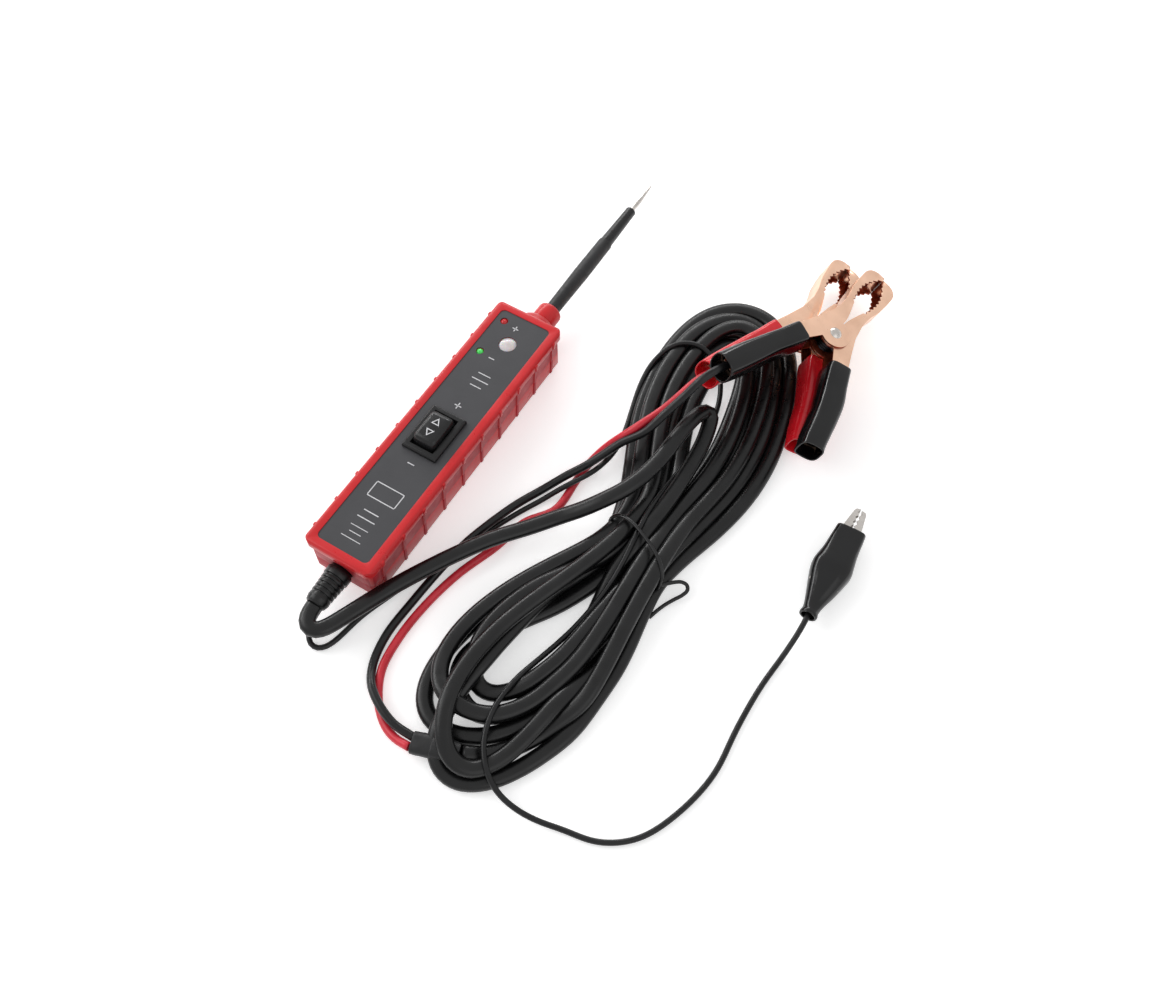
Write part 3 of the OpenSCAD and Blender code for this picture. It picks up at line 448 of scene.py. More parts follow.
def hank_lines():
    """The settled lines of the main cable and of the ground lead."""
    main = smooth_line(MAIN_ROUTE + FOLD_ROUTE + drawn_turns() + [SLEEVE_END], POINT_STEP)
    thin = smooth_line(GROUND_ROUTE + GROUND_IN_HANK + GROUND_TAIL, POINT_STEP)
    free_main, free_thin = np.ones(len(main)), np.ones(len(thin))
    free_main[: nearest(main[:260], FOLD_ROUTE[3])] = 0
    free_main[-2:] = 0
    free_thin[: nearest(thin[:120], GROUND_ROUTE[-1])] = 0
    free_thin[nearest(thin, GROUND_TAIL[3]) :] = 0
    sizes = [(CABLE_W, CABLE_H), (GROUND_D, GROUND_D)]
    lines = settle([main, thin], sizes, [free_main, free_thin])
    for line in lines:
        for _ in range(4):
            line[1:-1] += 0.3 * ((line[:-2] + line[2:]) / 2 - line[1:-1])
    return lines


cable_line, ground_line = hank_lines()
print("settled: cable", round(length_of(cable_line)), "mm, ground lead", round(length_of(ground_line)), "mm")


# %% [markdown]
# ## The skin of a cord
# A curve with a round bevel gives a round cord. The main cable is a flat oval that lies on its wide
# side, so rings of points are set across the line, wide side level, and joined with faces. The
# ends are closed with one face each. The thin leads are made by the same function.

# %% The skin of a cord
def ring_skin(name, rings):
    """A mesh that joins rings of points, with closed ends. Rings are arrays of the same length."""
    count = len(rings[0])
    verts = np.vstack(rings)
    faces = []
    for i in range(len(rings) - 1):
        for j in range(count):
            k = (j + 1) % count
            faces.append((i * count + j, i * count + k, (i + 1) * count + k, (i + 1) * count + j))
    faces.append(tuple(range(count - 1, -1, -1)))
    faces.append(tuple((len(rings) - 1) * count + j for j in range(count)))
    mesh = bpy.data.meshes.new(name)
    mesh.from_pydata((verts * MM).tolist(), [], faces)
    mesh.validate()
    made = bpy.data.objects.new(name, mesh)
    bpy.context.scene.collection.objects.link(made)
    for polygon in mesh.polygons:
        polygon.use_smooth = len(polygon.vertices) == 4
    return made


def oval(width, height, count, power=2.0):
    """A ring's outline: an ellipse at power 2, and squarer with a higher one."""
    angle = np.arange(count) * 2 * math.pi / count
    c, s = np.cos(angle), np.sin(angle)
    across = width / 2 * np.sign(c) * np.abs(c) ** (2 / power)
    upwards = height / 2 * np.sign(s) * np.abs(s) ** (2 / power)
    return np.stack([across, upwards], 1)


def cord_skin(name, line, width, height, count):
    """A cord along a line, with its wide side level."""
    along = np.gradient(line, axis=0)
    along /= np.linalg.norm(along, axis=1)[:, None]
    side = np.cross(along, [0, 0, 1])
    side /= np.maximum(np.linalg.norm(side, axis=1)[:, None], 1e-6)
    up = np.cross(side, along)
    outline = oval(width, height, count, 2.3 if width > height else 2.0)
    rings = []
    for point, sideways, upwards in zip(line, side, up):
        rings.append(point - outline[:, :1] * sideways + outline[:, 1:] * upwards)
    return ring_skin(name, rings)


# %% [markdown]
# The four cords get their skins here, before anything else is built, because the frame measures
# how far they spread, and the clamps and the clip have to meet their ends.

# %% The four cords
cable_line = smooth_line(cable_line, 1.8)
ground_line = smooth_line(ground_line, 1.5)
cable = cord_skin("two_core_cable", cable_line, CABLE_W, CABLE_H, 20)
ground = cord_skin("ground_cord", ground_line, GROUND_D, GROUND_D, 14)
red_line = smooth_line(RED_ROUTE, 1.6)
black_line = smooth_line(BLACK_ROUTE, 1.6)
red_lead = cord_skin("red_cord", red_line, LEAD_D, LEAD_D, 16)
black_lead = cord_skin("black_cord", black_line, LEAD_D, LEAD_D, 16)
cord_lines = {cable: cable_line, ground: ground_line, red_lead: red_line, black_lead: black_line}
for cord, line in cord_lines.items():
    print(cord.name, "is", round(length_of(line)), "mm long,", len(cord.data.polygons), "faces")


# %% [markdown]
# ## Finishes
# Each finish is a small node tree: a colour that varies a little over the surface, a roughness
# with smudges in it, and a fine bump. Noise reads Object coordinates, in metres, so its scale is
# set by the real grain: 2500 makes features of about half a millimetre. Image textures would need
# files and unwrapped pieces, and noise needs neither.

# %% A plain finish
def linear(colour):
    """A screen colour as the linear one that sockets take."""
    return (*(((c + 0.055) / 1.055) ** 2.4 if c > 0.04 else c / 12.92 for c in colour), 1)


def shader_of(made):
    """The inputs of a finish's shader."""
    return made.node_tree.nodes["Principled BSDF"].inputs


def finish(name, colour, metallic, gloss):
    """A Principled finish; colour is as it looks on screen, from 0 to 1."""
    made = bpy.data.materials.new(name)
    made.use_nodes = True
    shader_of(made)["Base Color"].default_value = linear(colour)
    shader_of(made)["Metallic"].default_value = metallic
    shader_of(made)["Specular IOR Level"].default_value = gloss
    return made


# %% Noise that a finish's colour, roughness and bump read
def noise(made, scale, detail=3.0, stretch=(1, 1, 1)):
    """A noise texture on Object coordinates."""
    tree = made.node_tree
    place = tree.nodes.new("ShaderNodeTexCoord")
    scaled = tree.nodes.new("ShaderNodeMapping")
    scaled.inputs["Scale"].default_value = stretch
    made_noise = tree.nodes.new("ShaderNodeTexNoise")
    made_noise.inputs["Scale"].default_value = scale
    made_noise.inputs["Detail"].default_value = detail
    tree.links.new(place.outputs["Object"], scaled.inputs["Vector"])
    tree.links.new(scaled.outputs["Vector"], made_noise.inputs["Vector"])
    return made_noise


def ramp(made, source, stops):
    """A colour ramp fed by a number; stops are (place, colour)."""
    node = made.node_tree.nodes.new("ShaderNodeValToRGB")
    while len(node.color_ramp.elements) < len(stops):
        node.color_ramp.elements.new(0.5)
    for element, (place, colour) in zip(node.color_ramp.elements, stops):
        element.position = place
        element.color = colour
    made.node_tree.links.new(source, node.inputs["Fac"])
    return node


def vary_colour(made, scale, one, two):
    """The base colour drifts between two screen colours."""
    source = noise(made, scale)
    node = ramp(made, source.outputs["Fac"], [(0.35, linear(one)), (0.65, linear(two))])
    made.node_tree.links.new(node.outputs["Color"], shader_of(made)["Base Color"])


def vary_rough(made, scale, low, high):
    """The roughness drifts between two values, as smudges and handling leave it."""
    source = noise(made, scale, 4.0)
    spread = made.node_tree.nodes.new("ShaderNodeMapRange")
    spread.inputs["From Min"].default_value = 0.3
    spread.inputs["From Max"].default_value = 0.7
    spread.inputs["To Min"].default_value = low
    spread.inputs["To Max"].default_value = high
    made.node_tree.links.new(source.outputs["Fac"], spread.inputs["Value"])
    made.node_tree.links.new(spread.outputs["Result"], shader_of(made)["Roughness"])


def grain(made, scale, height, stretch):
    """A fine bump, as of moulded or rolled surfaces; height is in metres."""
    source = noise(made, scale, 2.0, stretch)
    bump = made.node_tree.nodes.new("ShaderNodeBump")
    bump.inputs["Distance"].default_value = height
    bump.inputs["Strength"].default_value = 1.0
    made.node_tree.links.new(source.outputs["Fac"], bump.inputs["Height"])
    made.node_tree.links.new(bump.outputs["Normal"], shader_of(made)["Normal"])


def coat(name, colour, spread, size, rough, fine=(0, 0), metallic=0.0, gloss=0.5, stretch=(1, 1, 1)):
    """A finish whose colour wanders by the spread about the colour given.

    Its roughness lies between two values; fine is (scale, height) of the grain.
    """
    made = finish(name, colour, metallic, gloss)
    vary_colour(made, size, [c - spread for c in colour], [c + spread for c in colour])
    vary_rough(made, 2.3 * size, *rough)
    if fine[1]:
        grain(made, *fine, stretch)
    return made


print(len(bpy.data.materials), "finishes came with the frame")

# %% [markdown]
# ## Red case, grey label and black switch
# The case is a glossy red moulding with duller, eroded grip panels, whose red is also darker and
# pinker: painted shade of the sides and a painted sheen of their matte surface. The label is a
# printed foil, and the switch a harder plastic with a finer grain. On the real tester they differ
# more in how they shine than in colour, so each gets its own roughness and grain height.

# %% Finishes of the housing
red_case = coat("moulded_red", (0.8, 0.135, 0.155), 0.02, 60, (0.26, 0.38), (1400, 0.00001), gloss=0.4)
# The panels' darker, pinker red is painted shade and painted sheen; their roughness and grain are their own.
red_side_shade_and_sheen = coat("matt_red_panels_shade_and_sheen", (0.7, 0.15, 0.19), 0.03, 90, (0.45, 0.6), (2600, 0.00005), gloss=0.4)
label_face = coat(
    "printed_foil_grey", (0.275, 0.275, 0.285), 0.006, 90, (0.4, 0.5), (4000, 0.000008), gloss=0.3)
print_white = coat("white_ink", (0.82, 0.82, 0.83), 0.03, 900, (0.5, 0.65), gloss=0.3)
black_hard = coat(
    "moulded_black", (0.085, 0.085, 0.09), 0.015, 150, (0.22, 0.34), (3000, 0.00002), gloss=0.4)
print(red_case.name, "and", red_side_shade_and_sheen.name, "on the case,", label_face.name, "on the label")

# %% [markdown]
# ## Soft jackets, boots and heat-shrink
# Cord jackets are satin and nearly smooth. Dipped vinyl shines more and is slightly wavy, and
# heat-shrink is dull and rough. Black ones are a very dark grey, or no shape would show in them.

# %% Finishes of the cords and boots
black_jacket = coat(
    "black_jacket", (0.048, 0.048, 0.052), 0.016, 120, (0.24, 0.36), (1800, 0.000003), gloss=0.4)
black_thin = coat(
    "thin_black_jacket", (0.075, 0.075, 0.08), 0.02, 120, (0.24, 0.36), (2200, 0.000003), gloss=0.36)
red_jacket = coat("red_jacket", (0.82, 0.17, 0.23), 0.03, 120, (0.26, 0.38), (2000, 0.000004), gloss=0.45)
red_vinyl = coat("red_vinyl", (0.86, 0.1, 0.15), 0.03, 90, (0.16, 0.3), (700, 0.00003), gloss=0.45)
black_vinyl = coat("black_vinyl", (0.055, 0.055, 0.06), 0.012, 90, (0.12, 0.24), (700, 0.00003), gloss=0.4)
shrink_black = coat("heat_shrink", (0.12, 0.12, 0.125), 0.02, 200, (0.35, 0.55), (900, 0.00006), gloss=0.4)
print(black_jacket.name, "on the cable,", black_vinyl.name, "on the boots")

# %% [markdown]
# ## Copper, nickel, steel and brass
# Metals take their colour from what they mirror. The clamps are copper plated and bright outside,
# and the channel gets a darker copper, which is painted shade of the hollow. The needle's nickel has
# its grain stretched along it, as turning and polishing leave it.

# %% Finishes of the metal pieces
copper_plate = coat(
    "copper_plate", (0.97, 0.8, 0.69), 0.03, 120, (0.26, 0.4), (1500, 0.000012), metallic=1.0)
# Inside the channel the copper is darker: painted shade of the hollow.
copper_shade_inside = coat(
    "copper_painted_shade", (0.62, 0.28, 0.18), 0.08, 200, (0.35, 0.55), (1500, 0.00002), metallic=0.9)
nickel_plate = coat(
    "nickel_plate", (0.8, 0.78, 0.76), 0.04, 150, (0.2, 0.34), (1800, 0.00001), metallic=1.0,
    stretch=(6, 1, 6))
spring_black = coat("oiled_spring_wire", (0.2, 0.2, 0.21), 0.04, 400, (0.3, 0.45), metallic=1.0)
brass_plate = coat("brass_blade", (0.85, 0.7, 0.4), 0.04, 300, (0.25, 0.4), metallic=1.0)
print(copper_plate.name, "outside the clamps and", copper_shade_inside.name, "inside")

# %% [markdown]
# ## Board, breaker and lights
# The pieces inside the case are plain. The lens is milky plastic, so some light enters it and
# spreads, and some goes through. The two small lights are off, but they get a faint painted glow,
# an emission of their own colour that stands in for light caught in the plastic.

# %% Finishes of the electric pieces
PAINTED_GLOW = 0.12
board_green = coat("solder_mask", (0.09, 0.31, 0.17), 0.03, 400, (0.3, 0.45), (900, 0.00005))
breaker_case = coat("breaker_case", (0.72, 0.68, 0.58), 0.03, 200, (0.4, 0.6), (2000, 0.00003))
lens_white = coat("lens_plastic", (0.93, 0.89, 0.89), 0.03, 500, (0.12, 0.25))
light_red = coat("red_light", (0.72, 0.12, 0.14), 0.06, 900, (0.15, 0.3))
light_green = coat("green_light", (0.3, 0.82, 0.38), 0.08, 900, (0.15, 0.3))
shader_of(lens_white)["Subsurface Weight"].default_value = 0.4
shader_of(lens_white)["Subsurface Scale"].default_value = 0.002
shader_of(lens_white)["Transmission Weight"].default_value = 0.25
# The lights are off; their faint emission is a painted glow.
for light, colour in ((light_red, (0.8, 0.1, 0.1)), (light_green, (0.2, 0.9, 0.3))):
    shader_of(light)["Emission Color"].default_value = linear(colour)
    shader_of(light)["Emission Strength"].default_value = PAINTED_GLOW
print(len(bpy.data.materials), "finishes")


def paint(made, *pieces):
    """The finish goes in the pieces' only material slot."""
    for piece in pieces:
        piece.data.materials.clear()
        piece.data.materials.append(made)


# %% [markdown]
# ## The moulded and stamped parts
# CAD nodes keep their meshes: only finishes go on them. Where an edge catches the light, such as
# the housing's rim, a merged copy with a small bevel stands for the node instead. The copy's loose
# triangles are welded and its flat areas joined first, or the bevel would follow every triangle.

# %% A modifier that is applied at once
def applied(piece, name, kind, **settings):
    """A modifier is added with its settings and applied."""
    modifier = piece.modifiers.new(name, kind)
    for setting, value in settings.items():
        setattr(modifier, setting, value)
    bpy.context.view_layer.objects.active = piece
    bpy.ops.object.modifier_apply(modifier=modifier.name)


# %% Merged and bevelled copies
def welded_copy(node, name):
    """A copy of a CAD node with its triangles welded and its flat areas joined."""
    deselect()
    copy = bpy.data.objects.new(name, nodes[node].data.copy())
    bpy.context.scene.collection.objects.link(copy)
    copy.select_set(True)
    bpy.context.view_layer.objects.active = copy
    bpy.ops.object.mode_set(mode="EDIT")
    bpy.ops.mesh.select_all(action="SELECT")
    bpy.ops.mesh.remove_doubles(threshold=0.000004)
    bpy.ops.mesh.dissolve_limited(angle_limit=math.radians(1.0))
    bpy.ops.object.mode_set(mode="OBJECT")
    if "custom_normal" in copy.data.attributes:
        copy.data.attributes.remove(copy.data.attributes["custom_normal"])
    return copy


def round_corners(piece, width, reach=0.75):
    """Bevels the edges that lie at the four corners of a piece, as seen from above."""
    corners = np.array([v.co[:2] for v in piece.data.vertices])
    middle = (corners.max(0) + corners.min(0)) / 2
    half = (corners.max(0) - corners.min(0)) / 2
    away = (corners - middle) / half
    piece.data.polygons.foreach_set("select", [False] * len(piece.data.polygons))
    piece.data.vertices.foreach_set("select", [False] * len(piece.data.vertices))
    for edge in piece.data.edges:
        one, two = away[edge.vertices[0]], away[edge.vertices[1]]
        edge.select = bool(min(*abs(one), *abs(two)) > reach and (one * two).min() > 0)
    bpy.ops.object.mode_set(mode="EDIT")
    bpy.ops.mesh.select_mode(type="EDGE")
    bpy.ops.mesh.bevel(offset=width * MM, segments=4, affect="EDGES", clamp_overlap=True)
    bpy.ops.mesh.select_mode(type="VERT")
    bpy.ops.object.mode_set(mode="OBJECT")


def eased(node, name, made, width, body="root", angle=30, segments=2, corners=0.0):
    """A welded copy of a CAD node with eased edges, which stands for the node."""
    copy = welded_copy(node, name)
    if corners:
        round_corners(copy, corners)
    if width:
        applied(copy, "eased_edges", "BEVEL", width=width * MM, segments=segments,
            limit_method="ANGLE", angle_limit=math.radians(angle), harden_normals=False)
    bpy.ops.object.shade_smooth_by_angle(angle=math.radians(35))
    paint(made, copy)
    if body:
        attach(copy, body)
    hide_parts(node)
    return copy


# %% [markdown]
# ## Housing, strain relief and switch
# The case is two mouldings that meet at half height, with ribs all round for grip. Between the
# ribs the mould was eroded, so the side panels are dull while the rim and the ribs shine; they also
# get a darker, pinker red, which is painted shade and painted sheen. Faces are given that finish by
# where they are and which way they look.

# %% The housing
PANEL_X = 0.0135
PANEL_END = 0.0625
NOSE_FROM = 0.0645
PANEL_TOP = 0.0183
housing_top = eased("upper_shell", "housing_top", red_case, 0.25)
housing_tray = eased("lower_shell", "housing_tray", red_case, 0.25)
for shell in (housing_top, housing_tray):
    shell.data.materials.append(red_side_shade_and_sheen)
    for face in shell.data.polygons:
        x, y, z = face.center
        side = abs(face.normal.z) < 0.3 and (abs(x) > PANEL_X or abs(y) > PANEL_END)
        # Side faces below the rim get the panels' finish, with its painted shade and sheen.
        face.material_index = int(z < PANEL_TOP and side and abs(y) < NOSE_FROM)
    print(shell.name, len(shell.data.polygons), "faces")

# %% [markdown]
# The strain relief, the nose cap and the switch are smaller mouldings. The rocker's and the bezel's
# corners are rounded in plan first, and then all their edges are eased.

# %% Strain relief, nose cap and switch
strain_boot = eased("strain_relief", "strain_boot", black_jacket, 0.2)
front_cap = eased("nose_cap", "front_cap", red_case, 0.3)
bezel = eased("switch_body", "switch_bezel", black_hard, 0.3, segments=3, corners=1.4)
rocker = eased(
    "rocker", "rocker_cap", black_hard, 0.45, body="rocker", segments=3, corners=1.8)
for piece in (strain_boot, front_cap, bezel, rocker):
    print(piece.name, len(piece.data.polygons), "faces")

# %% [markdown]
# ## Where the clamps and the clip lie
# The two clamps lie on the hank, tilted, the black one on the red one. A matrix puts a piece that
# is modelled about its own rivet in its place, and its inverse tells where a point of the placed
# piece is, seen from the rivet. HANDLE is the frame of a handle, and FLIP mirrors it for the other.

# %% Frames of the clamps and the clip
def turned(axis, degrees):
    """A turn about one axis."""
    return Matrix.Rotation(math.radians(degrees), 4, axis)


def moved(x, y, z):
    """A move in millimetres."""
    return Matrix.Translation((x * MM, y * MM, z * MM))


STACK = moved(94.4, 120.6, 11.4) @ turned("Y", 20) @ turned("X", -5.5)
RED_CLAMP = STACK @ turned("Z", -1)
BLACK_CLAMP = STACK @ moved(7.5, -7, 12.8) @ turned("Z", -8)
HANDLE = moved(9.6, -10.5, 0) @ turned("Z", 19.3) @ turned("X", 90)
CLIP = moved(149.4, 36.5, 6.3) @ turned("Z", 2)
FLIP = Matrix.Scale(-1, 4, (1, 0, 0))
print("red rivet at", rounded(RED_CLAMP.translation), "black one at", rounded(BLACK_CLAMP.translation))

# %% [markdown]
# ## The clamps' copper jaws
# The jaws are folded from sheet and copper plated. Inside the channel and on the teeth they get a
# darker copper, painted shade of the hollow. A face's normal, in the jaw's own frame, tells which
# side it is on. The tips of the real jaws touch, so the two closing edges are drawn together at the
# very tip.

# %% Jaws
TIP_FROM = 0.0375
TIP_HALF_GAP = 0.0006
TIP_CLEARANCE = 0.00003


def close_tip(jaw, place, side):
    """The jaw's closing edge reaches the middle plane at its tip."""
    back = place.inverted()
    for v in jaw.data.vertices:
        local = back @ v.co
        if abs(local.x) < TIP_HALF_GAP and local.y > TIP_FROM:
            local.x = TIP_CLEARANCE * side
            v.co = place @ local


def paint_channel_shade(jaw, place, side):
    """Faces that look into the channel, or at the other jaw, get the darker copper of painted shade."""
    back = place.inverted()
    turn_back = back.to_3x3()
    jaw.data.materials.append(copper_shade_inside)
    for face in jaw.data.polygons:
        centre, normal = back @ face.center, turn_back @ face.normal
        wall = abs(normal.z) < 0.6 and normal.x * side < -0.15
        lining = normal.z * centre.z < 0 and abs(normal.z) > 0.6
        # Faces looking into the channel get the darker copper, as painted shade.
        face.material_index = int(wall or lining)


jaws = {"red": [], "black": []}
for colour, place in (("red", RED_CLAMP), ("black", BLACK_CLAMP)):
    for part, side, body in (("fixed", -1, "root"), ("moving", 1, colour + "_clamp_jaw")):
        node = f"{colour}_{part}_jaw"
        jaw = eased(node, node + "_sheet", copper_plate, 0.12, body=body, angle=40)
        close_tip(jaw, place, side)
        paint_channel_shade(jaw, place, side)
        jaws[colour].append(jaw)
        print(jaw.name, len(jaw.data.polygons), "faces")

# %% [markdown]
# ## The small parts
# These need no softer edges at the size they have in the picture, so they stay the CAD's own
# pieces, and only a finish goes on them.

# %% The small moulded parts and the metal
FINISH_OF = {
    "label_plate": label_face,
    "probe_rod": nickel_plate,
    "probe_sleeve": black_hard,
    "sleeve_cover": shrink_black,
    "probe_socket": brass_plate,
    "circuit_board": board_green,
    "red_light": light_red,
    "green_light": light_green,
    "lamp_lens": lens_white,
    "lamp_bulb": lens_white,
    "circuit_breaker": breaker_case,
    "switch_terminals": brass_plate,
    "housing_screws": nickel_plate,
    "red_rivet": nickel_plate,
    "black_rivet": nickel_plate,
    "clip_rivet": nickel_plate,
    "clip_fixed_jaw": nickel_plate,
    "clip_moving_jaw": nickel_plate,
}
for node, made in FINISH_OF.items():
    paint(made, nodes[node])
print(len(FINISH_OF), "CAD nodes have a finish")

# %% [markdown]
# ## Springs
# A torsion spring's coil sits round the rivet and its legs push the two handles apart. When the
# handles are squeezed, one leg stays with the fixed half and the other goes with the moving half.
# Here each spring is a smooth-shaded copy of its CAD node, set in place on no body.

# %% Springs in place
for name, place, body, reach in (
        ("red", RED_CLAMP, "red_clamp_jaw", 4),
        ("black", BLACK_CLAMP, "black_clamp_jaw", 4),
        ("clip", CLIP, "clip_jaw", 1.5)):
    spring = eased(name + "_spring", name + "_torsion_spring", spring_black, 0, body=None)
    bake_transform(spring)
    print(spring.name, len(spring.data.polygons), "faces")

# %% [markdown]
# ## Vinyl boots
# A battery clamp's handle wears a dipped vinyl boot: square where it grips the folded steel, round
# and open at the far end, with a wall under a millimetre thick. It is drawn out of one ring: the
# ring is extruded from station to station and resized at each. Its roundness is then set by a
# power, 2 for an ellipse and more for a square, and the wall comes from Solidify.

# %% A tube drawn out of a ring
def extruded_stations(name, stations, count=32):
    """A ring that is extruded and resized from station to station."""
    deselect()
    z, half_w, half_d, power, aside = stations[0]
    bpy.ops.mesh.primitive_circle_add(vertices=count, radius=MM, location=(0, 0, 0))
    tube = bpy.context.object
    tube.name = tube.data.name = name
    bpy.ops.object.mode_set(mode="EDIT")
    bpy.ops.mesh.select_all(action="SELECT")
    bpy.ops.transform.resize(value=(half_w, half_d, 1), center_override=(0, 0, 0))
    bpy.ops.transform.translate(value=(aside * MM, 0, z * MM))
    for last, new in zip(stations, stations[1:]):
        shift = ((new[4] - last[4]) * MM, 0, (new[0] - last[0]) * MM)
        bpy.ops.mesh.extrude_edges_move(TRANSFORM_OT_translate={"value": shift})
        pivot = (new[4] * MM, 0, new[0] * MM)
        bpy.ops.transform.resize(value=(new[1] / last[1], new[2] / last[2], 1), center_override=pivot)
    bpy.ops.mesh.select_all(action="SELECT")
    bpy.ops.mesh.normals_make_consistent(inside=False)
    bpy.ops.object.mode_set(mode="OBJECT")
    return tube


def square_up(tube, stations):
    """Each ring takes its station's roundness, by the power of its outline."""
    for v in tube.data.vertices:
        z, half_w, half_d, power, aside = min(stations, key=lambda g: abs(v.co.z / MM - g[0]))
        angle = math.atan2(v.co.y / MM / half_d, (v.co.x / MM - aside) / half_w)
        c, s = math.cos(angle), math.sin(angle)
        v.co.x = (aside + half_w * math.copysign(abs(c) ** (2 / power), c)) * MM
        v.co.y = half_d * math.copysign(abs(s) ** (2 / power), s) * MM


def drawn_tube(name, stations, wall=0.8, rim=0.25):
    """Stations are (along, half width, half depth, power, aside), in millimetres along +Z."""
    tube = extruded_stations(name, stations)
    square_up(tube, stations)
    applied(tube, "wall", "SOLIDIFY", thickness=wall * MM, offset=-1)
    applied(tube, "rim", "BEVEL", width=rim * MM, segments=2,
        limit_method="ANGLE", angle_limit=math.radians(60))
    applied(tube, "smooth", "SUBSURF", levels=1, render_levels=1)
    bpy.ops.object.shade_smooth()
    return tube


# %% Folds, and copies in place
def crumple(piece, size, depth):
    """Low folds and dents, as in soft vinyl: a cloud texture pushes the surface in and out."""
    clouds = bpy.data.textures.new(piece.name + "_folds", "CLOUDS")
    clouds.noise_scale = size * MM
    applied(piece, "folds", "DISPLACE", texture=clouds, texture_coords="LOCAL",
        strength=depth * MM, mid_level=0.5)
    return piece


def copy_at(piece, name, place):
    """A copy with its own mesh, set down by a matrix that goes into the mesh."""
    made = bpy.data.objects.new(name, piece.data.copy())
    bpy.context.scene.collection.objects.link(made)
    made.data.transform(place)
    if place.determinant() < 0:
        made.data.flip_normals()
    return made


def joined(pieces):
    """All the pieces become one with the first."""
    deselect()
    for piece in pieces:
        piece.select_set(True)
    bpy.context.view_layer.objects.active = pieces[0]
    bpy.ops.object.join()
    return pieces[0]


def settled_on(piece, made, body, node):
    """A piece gets its finish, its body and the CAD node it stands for."""
    paint(made, piece)
    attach(piece, body)
    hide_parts(node)
    print(piece.name, len(piece.data.polygons), "faces,", rounded(piece.dimensions))


# %% The boots
MOVING_BOOT = [(0, 4.7, 6.15, 5, 0.4), (1.5, 4.75, 6.2, 5, 0.4), (6, 4.9, 6.15, 4.6, 0.6),
    (11, 5.15, 6.1, 4, 0.95), (15, 5.3, 6.05, 3.6, 1.25), (19, 5.35, 6, 3.4, 1.3),
    (23, 5.3, 5.95, 3.4, 1.0), (28, 5.1, 5.9, 3.6, 0.4), (33, 5.0, 5.75, 3.6, -0.1),
    (37, 4.9, 5.5, 3.4, -0.4), (39.2, 4.95, 5.4, 3.2, -0.5), (40, 5.0, 5.45, 3.2, -0.5)]
FIXED_BOOT = [(0, 4.6, 6.4, 5, 0.3), (1.5, 4.65, 6.45, 5, 0.3), (7, 4.6, 6.4, 4.8, 0.35),
    (12, 4.55, 6.4, 4.6, 0.4), (15.5, 4.6, 6.4, 4.4, 0.4), (19, 4.85, 6.4, 4.2, 0.35),
    (25, 5.15, 6.4, 4, 0.2), (32, 5.4, 6.4, 3.6, 0.1), (38.4, 5.6, 6.3, 2.6, 0),
    (40, 5.7, 6.3, 2.3, 0)]
moving_boot = crumple(drawn_tube("moving_boot_model", MOVING_BOOT), 9, 0.45)
fixed_boot = crumple(drawn_tube("fixed_boot_model", FIXED_BOOT), 7, 0.4)
for colour, place, vinyl in (("red", RED_CLAMP, red_vinyl), ("black", BLACK_CLAMP, black_vinyl)):
    moving = copy_at(moving_boot, colour + "_moving_sleeve", place @ HANDLE)
    fixed = copy_at(fixed_boot, colour + "_fixed_sleeve", place @ FLIP @ HANDLE)
    settled_on(moving, vinyl, colour + "_clamp_jaw", colour + "_moving_boot")
    settled_on(fixed, vinyl, "root", colour + "_fixed_boot")
for model in (moving_boot, fixed_boot):
    bpy.data.objects.remove(model)

# %% [markdown]
# ## The ground clip's cover
# The crocodile clip hides in a soft cover: a small collar where the lead goes in, a pear-shaped
# bulge over the handles, and a squarish mouth. The cover is set in place on no body.

# %% The clip's cover
COVER = [(0, 3.3, 3.3, 2, 0), (1.2, 3.5, 3.5, 2, 0), (2.2, 3.0, 3.0, 2, 0), (4.5, 3.3, 3.1, 2, 0),
    (8, 4.3, 3.7, 2.2, 0), (12, 5.5, 4.5, 2.5, 0), (16, 6.7, 5.3, 2.8, -0.1),
    (19.5, 7.55, 5.9, 2.8, -0.1), (21.5, 7.75, 6, 2.8, 0), (23.5, 7.45, 5.9, 3, 0),
    (27, 6.75, 5.5, 3.4, 0.1), (31, 6.3, 5.15, 4, 0), (35, 6.0, 4.85, 4.6, 0),
    (38, 5.8, 4.6, 4.6, 0), (38.8, 5.75, 4.55, 4.4, 0)]
cover = drawn_tube("clip_cover_model", COVER, wall=0.9, rim=0.3)
clip_cover = copy_at(cover, "clip_cover", CLIP @ moved(0, -26, 0) @ turned("X", -90))
bpy.data.objects.remove(cover)
crumple(clip_cover, 7, 0.3)
paint(black_vinyl, clip_cover)
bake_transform(clip_cover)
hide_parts("clip_boot")
print(clip_cover.name, len(clip_cover.data.polygons), "faces,", rounded(clip_cover.dimensions))

# %% [markdown]
# ## Heat-shrink over the split
# Where the flat cable splits into the red and the black lead, two short lengths of heat-shrink
# overlap. They are tubes as well, drawn a little uneven, with a rough skin from a finer texture.

